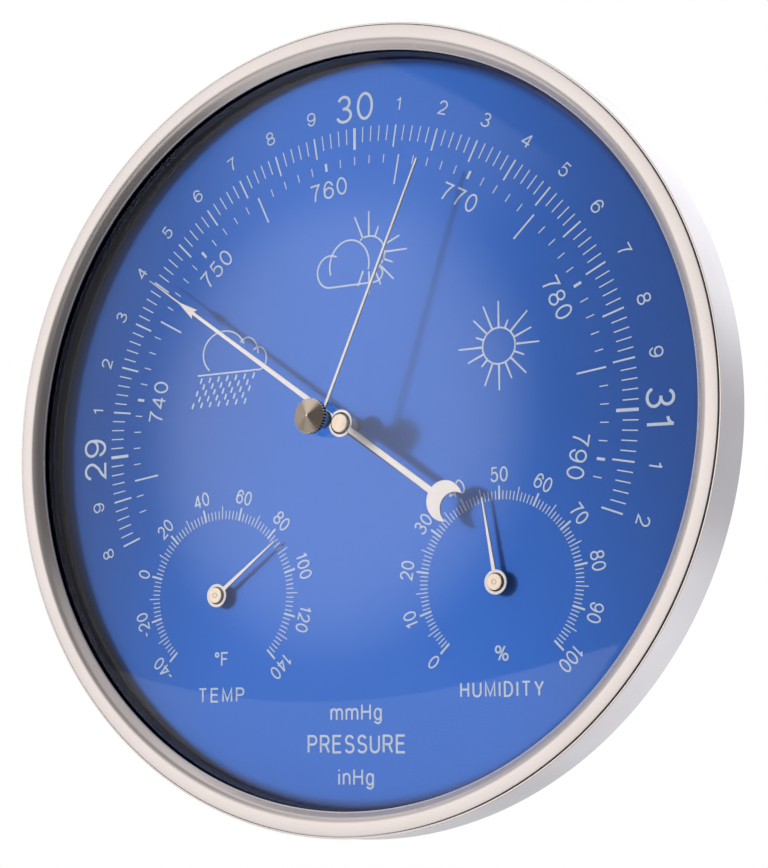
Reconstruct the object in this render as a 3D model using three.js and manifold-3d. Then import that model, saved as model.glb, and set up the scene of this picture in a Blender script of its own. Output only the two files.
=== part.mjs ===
// A round wall-hung analog weather station: barometer, thermometer and hygrometer.
// Millimetres. The wall is the plane y = 0, the dial faces -Y and +Z is up.
import * as THREE from 'three';
import { mergeVertices } from 'three/addons/utils/BufferGeometryUtils.js';
import Module from 'manifold-3d';

const wasm = await Module();
wasm.setup();

// Overall sizes
const CASE_RADIUS = 65;
const CASE_TAPER = 0.6; // case mouth smaller than its back
const CASE_WALL = 0.5; // at the mouth
const CASE_FLANGE = 1.5;
const CASE_EDGE_DROP = 0.65; // case edge behind the bezel's front edge
const EDGE_ROUND = 0.2;

// Fits
const SEAM = 0.2; // bezel to case band
const SEAT_GAP = 0.2; // between stacked or nested parts
const RUN_GAP = 0.08; // a shaft in its hole
const LINK_GAP = 0.4; // open pivots of the lever train
const PASS_GAP = 0.3; // a shaft through a plate that doesn't bear it
const STEP_GAP = 0.1; // along a shaft

// Front stack
const DIAL_THICK = 1;
const SPACER_HEIGHT = 2.85;
const GASKET_THICK = 0.3;
const GASKET_WIDTH = 1.7;
const LENS_THICK = 1;
const LENS_RISE = 7.7;
const LENS_POWER = 2.6; // 2 is a plain bowl, more is flatter in the middle
const LENS_HOLE = 1.6;
const BEZEL_WIDTH = 3.7;
const BEZEL_INNER_BAND = 1.8;
const BEZEL_INNER_RISE = 1.35;
const BEZEL_OUTER_RISE = 0.05;
const BEZEL_LIP = 0.3;
const BEZEL_SKIRT = 0.8;

// Pointer that is set by hand
const SET_ANGLE = 21.25;
const SET_REACH = 43.3;
const SET_WIDTH = 0.55;
const SET_TIP_WIDTH = 0.4;
const SET_TIP_GAP = 0.2; // tip behind the lens
const KNOB_RADIUS = 2.86;
const KNOB_RIM = 0.9;
const KNOB_CONE = 0.75;
const KNOB_TEETH = 28;
const KNOB_TOOTH = 0.2;
const BUSH_FLANGE = 1.05;
const BUSH_WALL = 0.6;
const SPINDLE_RADIUS = 0.7;
const SPINDLE_IN_KNOB = 1.1;
const SET_HUB_RADIUS = 1.5;
const SET_NUT_HEIGHT = 0.6;

// Pressure hand
const HAND_THICK = 0.3;
const BARO_ANGLE = -54.2;
const BARO_RISE = 4.5; // hand front above the dial
const BARO_REACH = 47.1;
const BARO_NEEDLE_LENGTH = 8; // beyond the arrow head
const BARO_ARROW_LENGTH = 3.4;
const BARO_ARROW_NOTCH = 0.4;
const BARO_BARB = 0.625; // arrow head beside the shaft
const BARO_NEEDLE = 0.3;
const BARO_SHAFT_TIP = 0.55;
const BARO_SHAFT_ROOT = 0.92;
const BARO_TAIL_WIDTH = 1.1;
const BARO_RING_RADIUS = 2.2;
const BARO_CAP_RADIUS = 1.6;
const BARO_CAP_HEIGHT = 0.4;
const BARO_TUBE_RADIUS = 0.92;
const BARO_TUBE_LENGTH = 3;
const MOON_REACH = 23.1;
const MOON_RADIUS = 3.2;
const MOON_CUT_SHIFT = 2.1;
const MOON_CUT_RADIUS = 2.5;
const ARBOR_RADIUS = 0.6;

// Thermometer and hygrometer
const SMALL_X = 25.85;
const SMALL_Z = -26.05;
const SMALL_RISE = 1.6; // hand front above the dial
const THERMO_ANGLE = 53.6;
const THERMO_REACH = 14.1;
const HYGRO_ANGLE = -9.7;
const HYGRO_REACH = 13.3;
const SMALL_SHAFT_TIP = 0.3;
const SMALL_SHAFT_ROOT = 0.7;
const SMALL_TAIL = 1.6;
const SMALL_RING_RADIUS = 1.92;
const SMALL_CAP_RADIUS = 1.28;
const SMALL_CAP_HEIGHT = 0.35;
const SMALL_TUBE_RADIUS = 0.8;
const SMALL_TUBE_LENGTH = 0.9;
const SMALL_ARBOR_RADIUS = 0.5;
const COIL_START = 2; // dial back to coil
const COIL_WIDTH = 4;
const COIL_INNER = 1.2;
const COIL_OUTER = 6.2;
const COIL_STRIP = 0.35;
const THERMO_TURNS = 4;
const HYGRO_TURNS = 5;
const BRACKET_SHEET = 0.8;
const BRACKET_BOSS = 2.4;
const BRACKET_WIDTH = 3;
const BRACKET_CLEAR = 1.4; // coil to bracket ends, along the arbor

// Movement layers behind the dial
const BRIDGE_GAP = 2; // dial back to bridge plate
const PLATE_THICK = 1;
const GEAR_SPACE = 3.4; // between bridge plate and lower plate
const ROCKER_SPACE = 1.8; // lower plate to rocker axis
const CAPSULE_LIFT_SPACE = 1.3; // stud face to capsule
const CAPSULE_HEIGHT = 5.2;
const CAPSULE_RADIUS = 14;
const CAPSULE_RIPPLE = 0.4;
const RIPPLE_SHARES = [0.9, 0.75, 0.6, 0.45]; // ripple rings over the capsule's radius
const CAPSULE_BOSS = 3;
const BASE_THICK = 1.2;
const BASE_RIM = 2.1; // plate beyond the sector's pivot
const PILLAR_RADIUS = 1.6;
const PILLAR_INSET = 2; // from the plates' edge
const PILLARS = 3;
const BRIDGE_PILLAR_X = 14.5;
const BRIDGE_PILLAR_Z = 4;
const BRIDGE_EAR = 3;
const BRIDGE_NOSE = 4;
const BRIDGE_TAIL_Z = -3;

// Gear train
const MODULE = 0.35;
const PINION_TEETH = 12;
const SECTOR_TEETH = 96; // as if it were a whole wheel
const SECTOR_FIRST = -4; // teeth cut, counted from the mesh point
const SECTOR_LAST = 8;
const TOOTH_SHARE = 0.42; // tooth width over pitch
const ADDENDUM = 0.85; // in modules
const DEDENDUM = 1.25;
const PRESSURE_ANGLE = 20;
const PINION_THICK = 1.4;
const SECTOR_THICK = 1;
const SECTOR_HUB = 2.6;
const TAIL_REACH = 3.3;
const TAIL_ANGLE = -6.85; // below level at rest
const TAIL_WIDTH = 1.8;
const PIN_RADIUS = 0.5;
const LINK_THICK = 0.5;
const LINK_WIDTH = 1.2;
const ROCKER_RADIUS = 0.7;
const ROCKER_HALF = 9;
const ROCKER_ARM = 2.5; // rocker axis to stud
const ROCKER_ARM_THICK = 0.8;
const ROCKER_ARM_WIDTH = 1.6;
const ROCKER_SLOT_BACK = 1.4;
const ROCKER_SLOT_FRONT = 2;
const COCK_LENGTH = 2;
const COCK_WIDTH = 4;
const COCK_WALL = 0.9; // behind the rocker's shaft
const STUD_RADIUS = 0.6;
const CONTACT_GAP = 0.3;
const HAIR_INNER = 1.2;
const HAIR_OUTER = 4.4;
const HAIR_STRIP = 0.15;
const HAIR_WIDTH = 0.5;
const HAIR_TURNS = 4;
const COLLET_RADIUS = 0.95;

// Rear tub and cover
const HOUSING_CLEAR = 2.1; // coils to the tub's wall
const HOUSING_WALL = 1.8;
const HOUSING_FLANGE_WIDTH = 8;
const HOUSING_FLANGE = 1.8;
const HOUSING_SCREWS = 6;
const COVER_THICK = 2;
const COVER_GAP = 1.4; // base plate to cover
const COVER_SCREWS = 3;
const BOSS_RADIUS = 2.6;
const BOSS_LENGTH = 10;
const BASE_SCREWS = 3;
const BASE_SCREW_INSET = 3.5;
const BASE_BOSS = 3;
const KEYHOLE_Z = 31;
const KEYHOLE_RADIUS = 4.5;
const KEYHOLE_SLOT = 4.4;
const KEYHOLE_RUN = 6;
const VENT_COUNT = 7;
const VENT_LENGTH = 14;
const VENT_WIDTH = 1.6;
const VENT_PITCH = 3.6;
const VENT_Z = -30;
const ADJUST_AFTER = 29; // degrees past a base screw
const ADJUST_RADIUS = 2;
const ADJUST_RECESS = 0.3;
const SLOT_WIDTH = 0.6;
const SLOT_DEPTH = 0.5;
const SCREW_RADIUS = 1.1;
const SCREW_HEAD = 2.1;
const SCREW_HEAD_HEIGHT = 1.2;
const SCREW_BITE = 1.2; // flat rest under the thread's end

// Facets around a full turn
const RIM_SIDES = 72;
const LENS_SIDES = 48;
const BODY_SIDES = 40;
const PIN_SIDES = 12;
const ARC_STEPS = 3; // half the steps of a rounded end
const LENS_RINGS = 5;
const COIL_STEPS = 14;
const WELD = 1e-4; // vertices closer than this are one

// Colours
const BRASS = 0xc9a64d;
const BRASS_ROD = 0xb08d3c;
const HUB_BRASS = 0xd8c49a;
const SPINDLE_BRASS = 0xb5a06a;
const COIL_COPPER = 0xb87a4b;
const COIL_BRASS = 0xcdbb8a;
const STEEL = 0xb9bcc0;
const STEEL_DARK = 0x9ea2a6;
const SHEET_STEEL = 0xa9adb1;
const HAND_SILVER = 0xf0f0f0;
const HOUSING_BLACK = 0x1c1d20;

// Depths along Y, from the wall to the front
const coverFront = -COVER_THICK;
const baseBack = coverFront - COVER_GAP;
const baseFront = baseBack - BASE_THICK;
const capsuleFront = baseFront - CAPSULE_HEIGHT;
const studFront = capsuleFront - CAPSULE_LIFT_SPACE;
const rockerY = studFront - CONTACT_GAP - ROCKER_ARM_THICK / 2;
const lowerBack = rockerY - ROCKER_SPACE;
const lowerFront = lowerBack - PLATE_THICK;
const bridgeBack = lowerFront - GEAR_SPACE;
const bridgeFront = bridgeBack - PLATE_THICK;
const gearMiddle = bridgeBack + (GEAR_SPACE - 2 * LINK_THICK) / 2;
const dialBack = bridgeFront - BRIDGE_GAP;
const caseBack = dialBack + CASE_FLANGE;
const dialFace = dialBack - DIAL_THICK;
const spacerFront = dialFace - SPACER_HEIGHT;
const lensRim = spacerFront - LENS_THICK;
const lensApex = lensRim - LENS_RISE;
const lipBack = lensRim - GASKET_THICK;
const lipFront = lipBack - BEZEL_LIP;
const creaseY = lipFront - BEZEL_INNER_RISE;
const bezelFront = creaseY - BEZEL_OUTER_RISE;
const caseFront = bezelFront + CASE_EDGE_DROP;
const bezelEdgeBack = caseFront - SEAM;

// Radii
const caseMouth = CASE_RADIUS - CASE_TAPER;
const caseInner = caseMouth - CASE_WALL;
const bezelOuter = caseMouth - SEAM;
const bezelOpening = bezelOuter - BEZEL_WIDTH;
const creaseRadius = bezelOpening + BEZEL_INNER_BAND;
const skirtOuter = caseInner - SEAT_GAP;
const skirtInner = skirtOuter - BEZEL_SKIRT;
const lensRadius = skirtInner - SEAT_GAP;
const domeRadius = bezelOpening - SEAT_GAP;
const housingInner = Math.hypot(SMALL_X, SMALL_Z) + COIL_OUTER + COIL_STRIP + HOUSING_CLEAR;
const housingRadius = housingInner + HOUSING_WALL;
const flangeRadius = housingRadius + HOUSING_FLANGE_WIDTH;
const flangeScrewCircle = housingRadius + HOUSING_FLANGE_WIDTH / 2;
const bossCircle = housingInner - BOSS_RADIUS;
const pinionPitch = (MODULE * PINION_TEETH) / 2;
const sectorPitch = (MODULE * SECTOR_TEETH) / 2;
const sectorZ = pinionPitch + sectorPitch;
const baseRadius = sectorZ + BASE_RIM;
const baseScrewCircle = baseRadius - BASE_SCREW_INSET;

// Place on the dial at a clockwise angle from the top
function clock(angle, radius) {
  const a = THREE.MathUtils.degToRad(angle);
  return { x: radius * Math.sin(a), z: radius * Math.cos(a) };
}

// Places spaced evenly round a circle, the first one some share of a step after the top
function around(count, radius, share) {
  return Array.from({ length: count }, (_, i) => clock((360 * (i + share)) / count, radius));
}

// Hole that stays clear of a round shaft although both have flat facets
function holeFor(radius, gap, sides = PIN_SIDES) {
  return (radius + gap) / Math.cos(Math.PI / sides);
}

// Geometry as a solid for joining and cutting
function toSolid(geometry) {
  const bare = geometry.clone();
  bare.deleteAttribute('normal');
  bare.deleteAttribute('uv');
  const merged = mergeVertices(bare, WELD);
  const corners = merged.index.array;
  const triangles = [];
  for (let i = 0; i < corners.length; i += 3) {
    const [a, b, c] = [corners[i], corners[i + 1], corners[i + 2]];
    if (a !== b && b !== c && c !== a) triangles.push(a, b, c);
  }
  const vertProperties = new Float32Array(merged.attributes.position.array);
  const triVerts = new Uint32Array(triangles);
  return new wasm.Manifold(new wasm.Mesh({ numProp: 3, vertProperties, triVerts }));
}

// Solid back to a geometry
function toGeometry(solid) {
  const mesh = solid.getMesh();
  const geometry = new THREE.BufferGeometry();
  geometry.setAttribute('position', new THREE.BufferAttribute(mesh.vertProperties, 3));
  geometry.setIndex(new THREE.BufferAttribute(mesh.triVerts, 1));
  geometry.computeVertexNormals();
  return geometry;
}

function join(...geometries) {
  return toGeometry(geometries.map(toSolid).reduce((a, b) => a.add(b)));
}

function cut(geometry, ...tools) {
  return toGeometry(tools.map(toSolid).reduce((a, b) => a.subtract(b), toSolid(geometry)));
}

// Turned piece about Y: profile points are [radius, y], from front to back round the outside
function turned(profile, sides) {
  const points = profile.map(([r, y]) => new THREE.Vector2(r, y));
  return new THREE.LatheGeometry(points, sides);
}

// Turned ring with a bore: the profile closes on itself
function ring(profile, sides) {
  return turned([...profile, profile[0]], sides);
}

function tube(inner, outer, front, back, sides) {
  return ring([[inner, front], [outer, front], [outer, back], [inner, back]], sides);
}

function rod(radius, front, back, sides = PIN_SIDES) {
  return turned([[0, front], [radius, front], [radius, back], [0, back]], sides);
}

function rodAt(x, z, radius, front, back, sides = PIN_SIDES) {
  return rod(radius, front, back, sides).translate(x, 0, z);
}

// Flat outline in X and Z, given thickness along Y
function plate(shape, front, back) {
  const options = { depth: back - front, bevelEnabled: false, curveSegments: ARC_STEPS };
  return new THREE.ExtrudeGeometry(shape, options).rotateX(Math.PI / 2).translate(0, back, 0);
}

function outline(points) {
  return new THREE.Shape(points.map(([x, z]) => new THREE.Vector2(x, z)));
}

// Points round part of a circle, between two clockwise angles
function arc(x, z, radius, from, to, steps) {
  return Array.from({ length: steps + 1 }, (_, i) => {
    const place = clock(from + ((to - from) * i) / steps, radius);
    return [x + place.x, z + place.z];
  });
}

function circle(x, z, radius, sides = PIN_SIDES) {
  return outline(arc(x, z, radius, 360, 0, sides).slice(1));
}

function disc(radius, sides) {
  return circle(0, 0, radius, sides);
}

// Bar with round ends between two places
function bar(ax, az, bx, bz, width) {
  const turn = Math.atan2(bz - az, bx - ax);
  const half = width / 2;
  const shape = new THREE.Shape();
  shape.absarc(bx, bz, half, turn - Math.PI / 2, turn + Math.PI / 2);
  shape.absarc(ax, az, half, turn + Math.PI / 2, turn + 1.5 * Math.PI);
  shape.closePath();
  return shape;
}

// Flat spiral strip, wound clockwise outwards from the top
function spiral(inner, outer, turns, strip) {
  const steps = Math.round(turns * COIL_STEPS);
  const edge = (side) => Array.from({ length: steps + 1 }, (_, i) => {
    const share = i / steps;
    const place = clock(360 * turns * share, inner + (outer - inner) * share + side * strip / 2);
    return [place.x, place.z];
  });
  return outline([...edge(1), ...edge(-1).reverse()]);
}

// Materials
function metal(color, roughness) {
  return new THREE.MeshStandardMaterial({ color, roughness, metalness: 1 });
}

function plastic(color, roughness) {
  return new THREE.MeshStandardMaterial({ color, roughness, metalness: 0 });
}

const station = new THREE.Group();

function add(name, geometry, material, parent = station) {
  const mesh = new THREE.Mesh(geometry, material);
  mesh.name = name;
  parent.add(mesh);
  return mesh;
}

// Group that turns its pieces clockwise about Y at a place on the dial
function pointerGroup(x, z, angle) {
  const group = new THREE.Group();
  group.position.set(x, 0, z);
  group.rotation.y = THREE.MathUtils.degToRad(angle);
  station.add(group);
  return group;
}

// Case band with its rear flange, drilled for the housing screws
const screwHole = holeFor(SCREW_RADIUS, RUN_GAP);
const housingScrewPlaces = around(HOUSING_SCREWS, flangeScrewCircle, 0.5);

function flangeHoles(front, back) {
  return housingScrewPlaces.map((place) => rodAt(place.x, place.z, screwHole, front, back));
}

const caseBand = ring([
  [caseInner, caseFront],
  [caseMouth - EDGE_ROUND, caseFront],
  [caseMouth, caseFront + EDGE_ROUND],
  [CASE_RADIUS, caseBack - EDGE_ROUND],
  [CASE_RADIUS - EDGE_ROUND, caseBack],
  [housingInner, caseBack],
  [housingInner, dialBack],
  [caseInner, dialBack],
], RIM_SIDES);
const caseDrills = flangeHoles(dialBack - SEAT_GAP, caseBack + SEAT_GAP);
add('case_ring', cut(caseBand, ...caseDrills), metal(0xc9c6c4, 0.35));

// Dished bezel whose edge stands in front of the case mouth
add('bezel_ring', ring([
  [bezelOpening, lipFront],
  [creaseRadius, creaseY],
  [bezelOuter - EDGE_ROUND, bezelFront],
  [bezelOuter, bezelFront + EDGE_ROUND],
  [bezelOuter, bezelEdgeBack],
  [skirtOuter, bezelEdgeBack],
  [skirtOuter, spacerFront],
  [skirtInner, spacerFront],
  [skirtInner, lipBack],
  [bezelOpening, lipBack],
], RIM_SIDES), metal(0xd8d2ce, 0.4));

// Domed lens: the same curve front and back, on a flat rim
function domeY(radius) {
  return lensRim - LENS_RISE * (1 - (radius / domeRadius) ** LENS_POWER);
}

const domeRadii = Array.from({ length: LENS_RINGS + 1 }, (_, i) => {
  return LENS_HOLE + ((domeRadius - LENS_HOLE) * i) / LENS_RINGS;
});
const domeFront = domeRadii.map((r) => [r, domeY(r)]);
const domeBack = domeRadii.map((r) => [r, domeY(r) + LENS_THICK]);
add('lens', ring([
  ...domeFront,
  [lensRadius, lensRim],
  [lensRadius, lensRim + LENS_THICK],
  ...domeBack.reverse(),
], LENS_SIDES), plastic(0xe8eef2, 0.05));

const gasketInner = lensRadius - GASKET_WIDTH;
add('lens_gasket', tube(gasketInner, lensRadius, lipBack, lensRim, LENS_SIDES), plastic(0x222222, 0.8));
add('spacer_ring', tube(bezelOpening, skirtOuter, spacerFront, dialFace, RIM_SIDES), plastic(0x0d0d0f, 0.3));

// Dial with a hole for each arbor
const dialShape = disc(skirtOuter, RIM_SIDES);
dialShape.holes.push(circle(0, 0, holeFor(ARBOR_RADIUS, PASS_GAP)));
for (const side of [-1, 1]) {
  dialShape.holes.push(circle(side * SMALL_X, SMALL_Z, holeFor(SMALL_ARBOR_RADIUS, PASS_GAP)));
}
add('dial_plate', plate(dialShape, dialFace, dialBack), metal(0x2f63c8, 0.5));

// Set pointer: knob and bush outside the lens, hand and nut inside
const lensInside = lensApex + LENS_THICK;
const bushFront = lensApex - BUSH_FLANGE;
const knobBack = bushFront - STEP_GAP;
const knobShoulder = knobBack - KNOB_RIM;
const bushOuter = LENS_HOLE * Math.cos(Math.PI / LENS_SIDES) - RUN_GAP;
const spindleBore = holeFor(SPINDLE_RADIUS, RUN_GAP);
const boreFront = knobBack - SPINDLE_IN_KNOB;
const setHandFront = lensInside + STEP_GAP;
const setHandBack = setHandFront + HAND_THICK;
const setTilt = Math.atan2(domeY(SET_REACH) + LENS_THICK + SET_TIP_GAP - setHandFront, SET_REACH);
const setNutFront = setHandBack + SET_HUB_RADIUS * Math.tan(setTilt) + STEP_GAP;
const setNutBack = setNutFront + SET_NUT_HEIGHT;
const setPointer = pointerGroup(0, 0, SET_ANGLE);

add('lens_bush', ring([
  [spindleBore, bushFront],
  [bushOuter + BUSH_WALL, bushFront],
  [bushOuter + BUSH_WALL, lensApex],
  [bushOuter, lensApex],
  [bushOuter, lensInside],
  [spindleBore, lensInside],
], PIN_SIDES), plastic(0xd9d9d4, 0.4));

const knurl = outline(Array.from({ length: 2 * KNOB_TEETH }, (_, i) => {
  const place = clock((180 * i) / KNOB_TEETH, i % 2 ? KNOB_RADIUS - KNOB_TOOTH : KNOB_RADIUS);
  return [place.x, place.z];
}));
const knobCone = turned([
  [0, knobShoulder - KNOB_CONE],
  [KNOB_RADIUS - KNOB_TOOTH, knobShoulder],
  [KNOB_RADIUS - KNOB_TOOTH, knobBack],
  [0, knobBack],
], 2 * KNOB_TEETH);
const knobBlank = join(knobCone, plate(knurl, knobShoulder, knobBack));
const knobBore = rod(spindleBore, boreFront, knobBack + SEAT_GAP);
add('set_knob', cut(knobBlank, knobBore), metal(0x9a8a78, 0.35), setPointer);
const spindle = rod(SPINDLE_RADIUS, boreFront + STEP_GAP, setNutBack + STEP_GAP);
add('set_spindle', spindle, metal(SPINDLE_BRASS, 0.4), setPointer);

// The needle leaves its hub at a tilt, back towards the dial
const setNeedle = plate(outline([
  [-SET_WIDTH / 2, 0],
  [SET_WIDTH / 2, 0],
  [SET_TIP_WIDTH / 2, SET_REACH / Math.cos(setTilt)],
  [-SET_TIP_WIDTH / 2, SET_REACH / Math.cos(setTilt)],
]), 0, HAND_THICK).rotateX(-setTilt).translate(0, setHandFront, 0);
const setHub = plate(disc(SET_HUB_RADIUS), setHandFront, setHandBack);
const setBore = rod(spindleBore, setHandFront - SEAT_GAP, setHandBack + SEAT_GAP);
add('set_hand', cut(join(setHub, setNeedle), setBore), metal(0xe6e6e6, 0.35), setPointer);
const setNut = tube(spindleBore, SET_HUB_RADIUS, setNutFront, setNutBack, PIN_SIDES);
add('set_nut', setNut, metal(SPINDLE_BRASS, 0.4), setPointer);

// A hub is a cap in front of its hand with a tube behind it, bored blind for the arbor
function hub(capRadius, capHeight, tubeRadius, tubeLength, handFront, arborRadius) {
  const handBack = handFront + HAND_THICK;
  const capFront = handFront - STEP_GAP - capHeight;
  const bore = holeFor(arborRadius, RUN_GAP);
  return turned([
    [0, capFront],
    [capRadius - EDGE_ROUND, capFront],
    [capRadius, capFront + EDGE_ROUND],
    [capRadius, handFront - STEP_GAP],
    [tubeRadius, handFront - STEP_GAP],
    [tubeRadius, handBack + tubeLength],
    [bore, handBack + tubeLength],
    [bore, handFront],
    [0, handFront],
  ], PIN_SIDES);
}

// Pressure hand: needle, arrow, shaft, ring, tail and crescent moon
const baroPointer = pointerGroup(0, 0, BARO_ANGLE);
const baroFront = dialFace - BARO_RISE;
const baroBack = baroFront + HAND_THICK;
const arrowTip = BARO_REACH - BARO_NEEDLE_LENGTH;
const arrowBase = arrowTip - BARO_ARROW_LENGTH;
const baroBlade = outline([
  [-BARO_SHAFT_ROOT / 2, 0],
  [BARO_SHAFT_ROOT / 2, 0],
  [BARO_SHAFT_TIP / 2, arrowBase],
  [BARO_SHAFT_TIP / 2 + BARO_BARB, arrowBase - BARO_ARROW_NOTCH],
  [BARO_NEEDLE / 2, arrowTip],
  [BARO_NEEDLE / 4, BARO_REACH],
  [-BARO_NEEDLE / 4, BARO_REACH],
  [-BARO_NEEDLE / 2, arrowTip],
  [-BARO_SHAFT_TIP / 2 - BARO_BARB, arrowBase - BARO_ARROW_NOTCH],
  [-BARO_SHAFT_TIP / 2, arrowBase],
]);
const baroTail = outline([
  [-BARO_TAIL_WIDTH / 2, -MOON_REACH],
  [BARO_TAIL_WIDTH / 2, -MOON_REACH],
  [BARO_SHAFT_ROOT / 2, 0],
  [-BARO_SHAFT_ROOT / 2, 0],
]);
const baroSheet = join(
  plate(baroBlade, baroFront, baroBack),
  plate(baroTail, baroFront, baroBack),
  plate(disc(BARO_RING_RADIUS), baroFront, baroBack),
  plate(disc(MOON_RADIUS, 2 * PIN_SIDES), baroFront, baroBack).translate(0, 0, -MOON_REACH),
);
const moonCut = rodAt(
  0,
  -MOON_REACH - MOON_CUT_SHIFT,
  MOON_CUT_RADIUS,
  baroFront - SEAT_GAP,
  baroBack + SEAT_GAP,
  2 * PIN_SIDES,
);
const baroHole = rod(holeFor(BARO_TUBE_RADIUS, RUN_GAP), baroFront - SEAT_GAP, baroBack + SEAT_GAP);
add('baro_hand', cut(baroSheet, moonCut, baroHole), metal(HAND_SILVER, 0.4), baroPointer);
add(
  'baro_hub',
  hub(BARO_CAP_RADIUS, BARO_CAP_HEIGHT, BARO_TUBE_RADIUS, BARO_TUBE_LENGTH, baroFront, ARBOR_RADIUS),
  metal(HUB_BRASS, 0.35),
  baroPointer,
);

// Arbor of the pressure hand with the hairspring's collet on it
const hairFront = dialBack + (BRIDGE_GAP - HAIR_WIDTH) / 2;
const hairBack = hairFront + HAIR_WIDTH;
const lowerPivot = lowerBack - STEP_GAP;
add('baro_arbor', turned([
  [0, baroFront + STEP_GAP],
  [ARBOR_RADIUS, baroFront + STEP_GAP],
  [ARBOR_RADIUS, hairFront],
  [COLLET_RADIUS, hairFront],
  [COLLET_RADIUS, hairBack],
  [ARBOR_RADIUS, hairBack],
  [ARBOR_RADIUS, lowerPivot],
  [0, lowerPivot],
], PIN_SIDES), metal(BRASS_ROD, 0.3), baroPointer);

// Tooth flanks as [radius, half width] pairs from root to tip
function toothFlank(pitchRadius) {
  const lean = Math.tan(THREE.MathUtils.degToRad(PRESSURE_ANGLE));
  const half = (Math.PI * MODULE * TOOTH_SHARE) / 2;
  return [
    [pitchRadius - DEDENDUM * MODULE, half + DEDENDUM * MODULE * lean],
    [pitchRadius + ADDENDUM * MODULE, half - ADDENDUM * MODULE * lean],
  ];
}

// Outline points of one tooth that stands at an angle from the top, clockwise
function tooth(angle, pitchRadius) {
  const [root, tip] = toothFlank(pitchRadius);
  const corners = [[root, -1], [tip, -1], [tip, 1], [root, 1]];
  return corners.map(([[radius, half], side]) => {
    const place = clock(angle + THREE.MathUtils.radToDeg((side * half) / radius), radius);
    return [place.x, place.z];
  });
}

const pinionOutline = outline(Array.from({ length: PINION_TEETH }, (_, i) => {
  return tooth((360 * i) / PINION_TEETH, pinionPitch);
}).flat());
const pivotHole = holeFor(ARBOR_RADIUS, RUN_GAP);
const pinionFront = gearMiddle - PINION_THICK / 2;
const pinionBack = gearMiddle + PINION_THICK / 2;
const pinionBore = rod(pivotHole, pinionFront - SEAT_GAP, pinionBack + SEAT_GAP);
add('baro_pinion', cut(plate(pinionOutline, pinionFront, pinionBack), pinionBore), metal(BRASS, 0.35));

// Toothed sector on its arbor above the pinion, with a tail arm and pin
const sectorStep = 360 / SECTOR_TEETH;
const sectorFront = gearMiddle - SECTOR_THICK / 2;
const sectorBack = gearMiddle + SECTOR_THICK / 2;
const linkFront = sectorBack + CONTACT_GAP;
const linkBack = linkFront + LINK_THICK;
const tail = clock(90 - TAIL_ANGLE, TAIL_REACH);
const sectorCount = SECTOR_LAST - SECTOR_FIRST + 1;
const sectorTeeth = Array.from({ length: sectorCount }, (_, i) => {
  return tooth(180 + (SECTOR_FIRST + i + 0.5) * sectorStep, sectorPitch);
}).flat();
const sectorShape = outline([[-SECTOR_HUB, 0], [0, SECTOR_HUB], [SECTOR_HUB, 0], ...sectorTeeth]);
const sectorBlank = join(
  plate(sectorShape, sectorFront, sectorBack),
  plate(disc(SECTOR_HUB), sectorFront, sectorBack),
  plate(bar(0, 0, tail.x, tail.z, TAIL_WIDTH), sectorFront, sectorBack),
  rodAt(tail.x, tail.z, PIN_RADIUS, sectorFront, linkBack + STEP_GAP),
);
const sectorBore = rod(pivotHole, sectorFront - SEAT_GAP, linkBack + SEAT_GAP);
const sector = pointerGroup(0, sectorZ, 0);
add('sector_gear', cut(sectorBlank, sectorBore), metal(BRASS, 0.35), sector);
add('sector_arbor', rod(ARBOR_RADIUS, bridgeFront + STEP_GAP, lowerPivot), metal(BRASS_ROD, 0.3), sector);

// Link from the tail pin down to the rocker's upright
const linkTopZ = sectorZ + tail.z;
const rockerZ = -ROCKER_ARM;
const linkShape = bar(tail.x, linkTopZ, tail.x, rockerZ, LINK_WIDTH + 2 * LINK_GAP + 2 * PIN_RADIUS);
linkShape.holes.push(circle(tail.x, linkTopZ, holeFor(PIN_RADIUS, RUN_GAP)));
linkShape.holes.push(circle(tail.x, rockerZ, PIN_RADIUS + LINK_GAP));
add('connecting_link', plate(linkShape, linkFront, linkBack), metal(STEEL, 0.35));

// Rocker: cross shaft, upright to the link and arm over the capsule's stud
const rockerShaft = new THREE.CylinderGeometry(ROCKER_RADIUS, ROCKER_RADIUS, 2 * ROCKER_HALF, PIN_SIDES)
  .rotateZ(Math.PI / 2)
  .translate(0, rockerY, rockerZ);
const rockerArm = new THREE.BoxGeometry(ROCKER_ARM_WIDTH, ROCKER_ARM_THICK, ROCKER_ARM + STUD_RADIUS)
  .translate(0, rockerY, rockerZ + (ROCKER_ARM + STUD_RADIUS) / 2);
const rockerUpright = rodAt(tail.x, rockerZ, PIN_RADIUS, linkFront - STEP_GAP, rockerY);
add('rocker_shaft', join(rockerShaft, rockerArm, rockerUpright), metal(STEEL_DARK, 0.35));

for (const [name, side] of [['rocker_cock_left', -1], ['rocker_cock_right', 1]]) {
  const cockX = side * (ROCKER_HALF - COCK_LENGTH / 2);
  const cockDepth = ROCKER_SPACE + ROCKER_RADIUS + COCK_WALL;
  const cockBlock = new THREE.BoxGeometry(COCK_LENGTH, cockDepth, COCK_WIDTH)
    .translate(cockX, lowerBack + cockDepth / 2, rockerZ);
  const cockBoreRadius = holeFor(ROCKER_RADIUS, RUN_GAP);
  const cockBore = new THREE.CylinderGeometry(cockBoreRadius, cockBoreRadius, 2 * COCK_LENGTH, PIN_SIDES)
    .rotateZ(Math.PI / 2)
    .translate(cockX, rockerY, rockerZ);
  add(name, cut(cockBlock, cockBore), metal(BRASS, 0.35));
}

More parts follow.
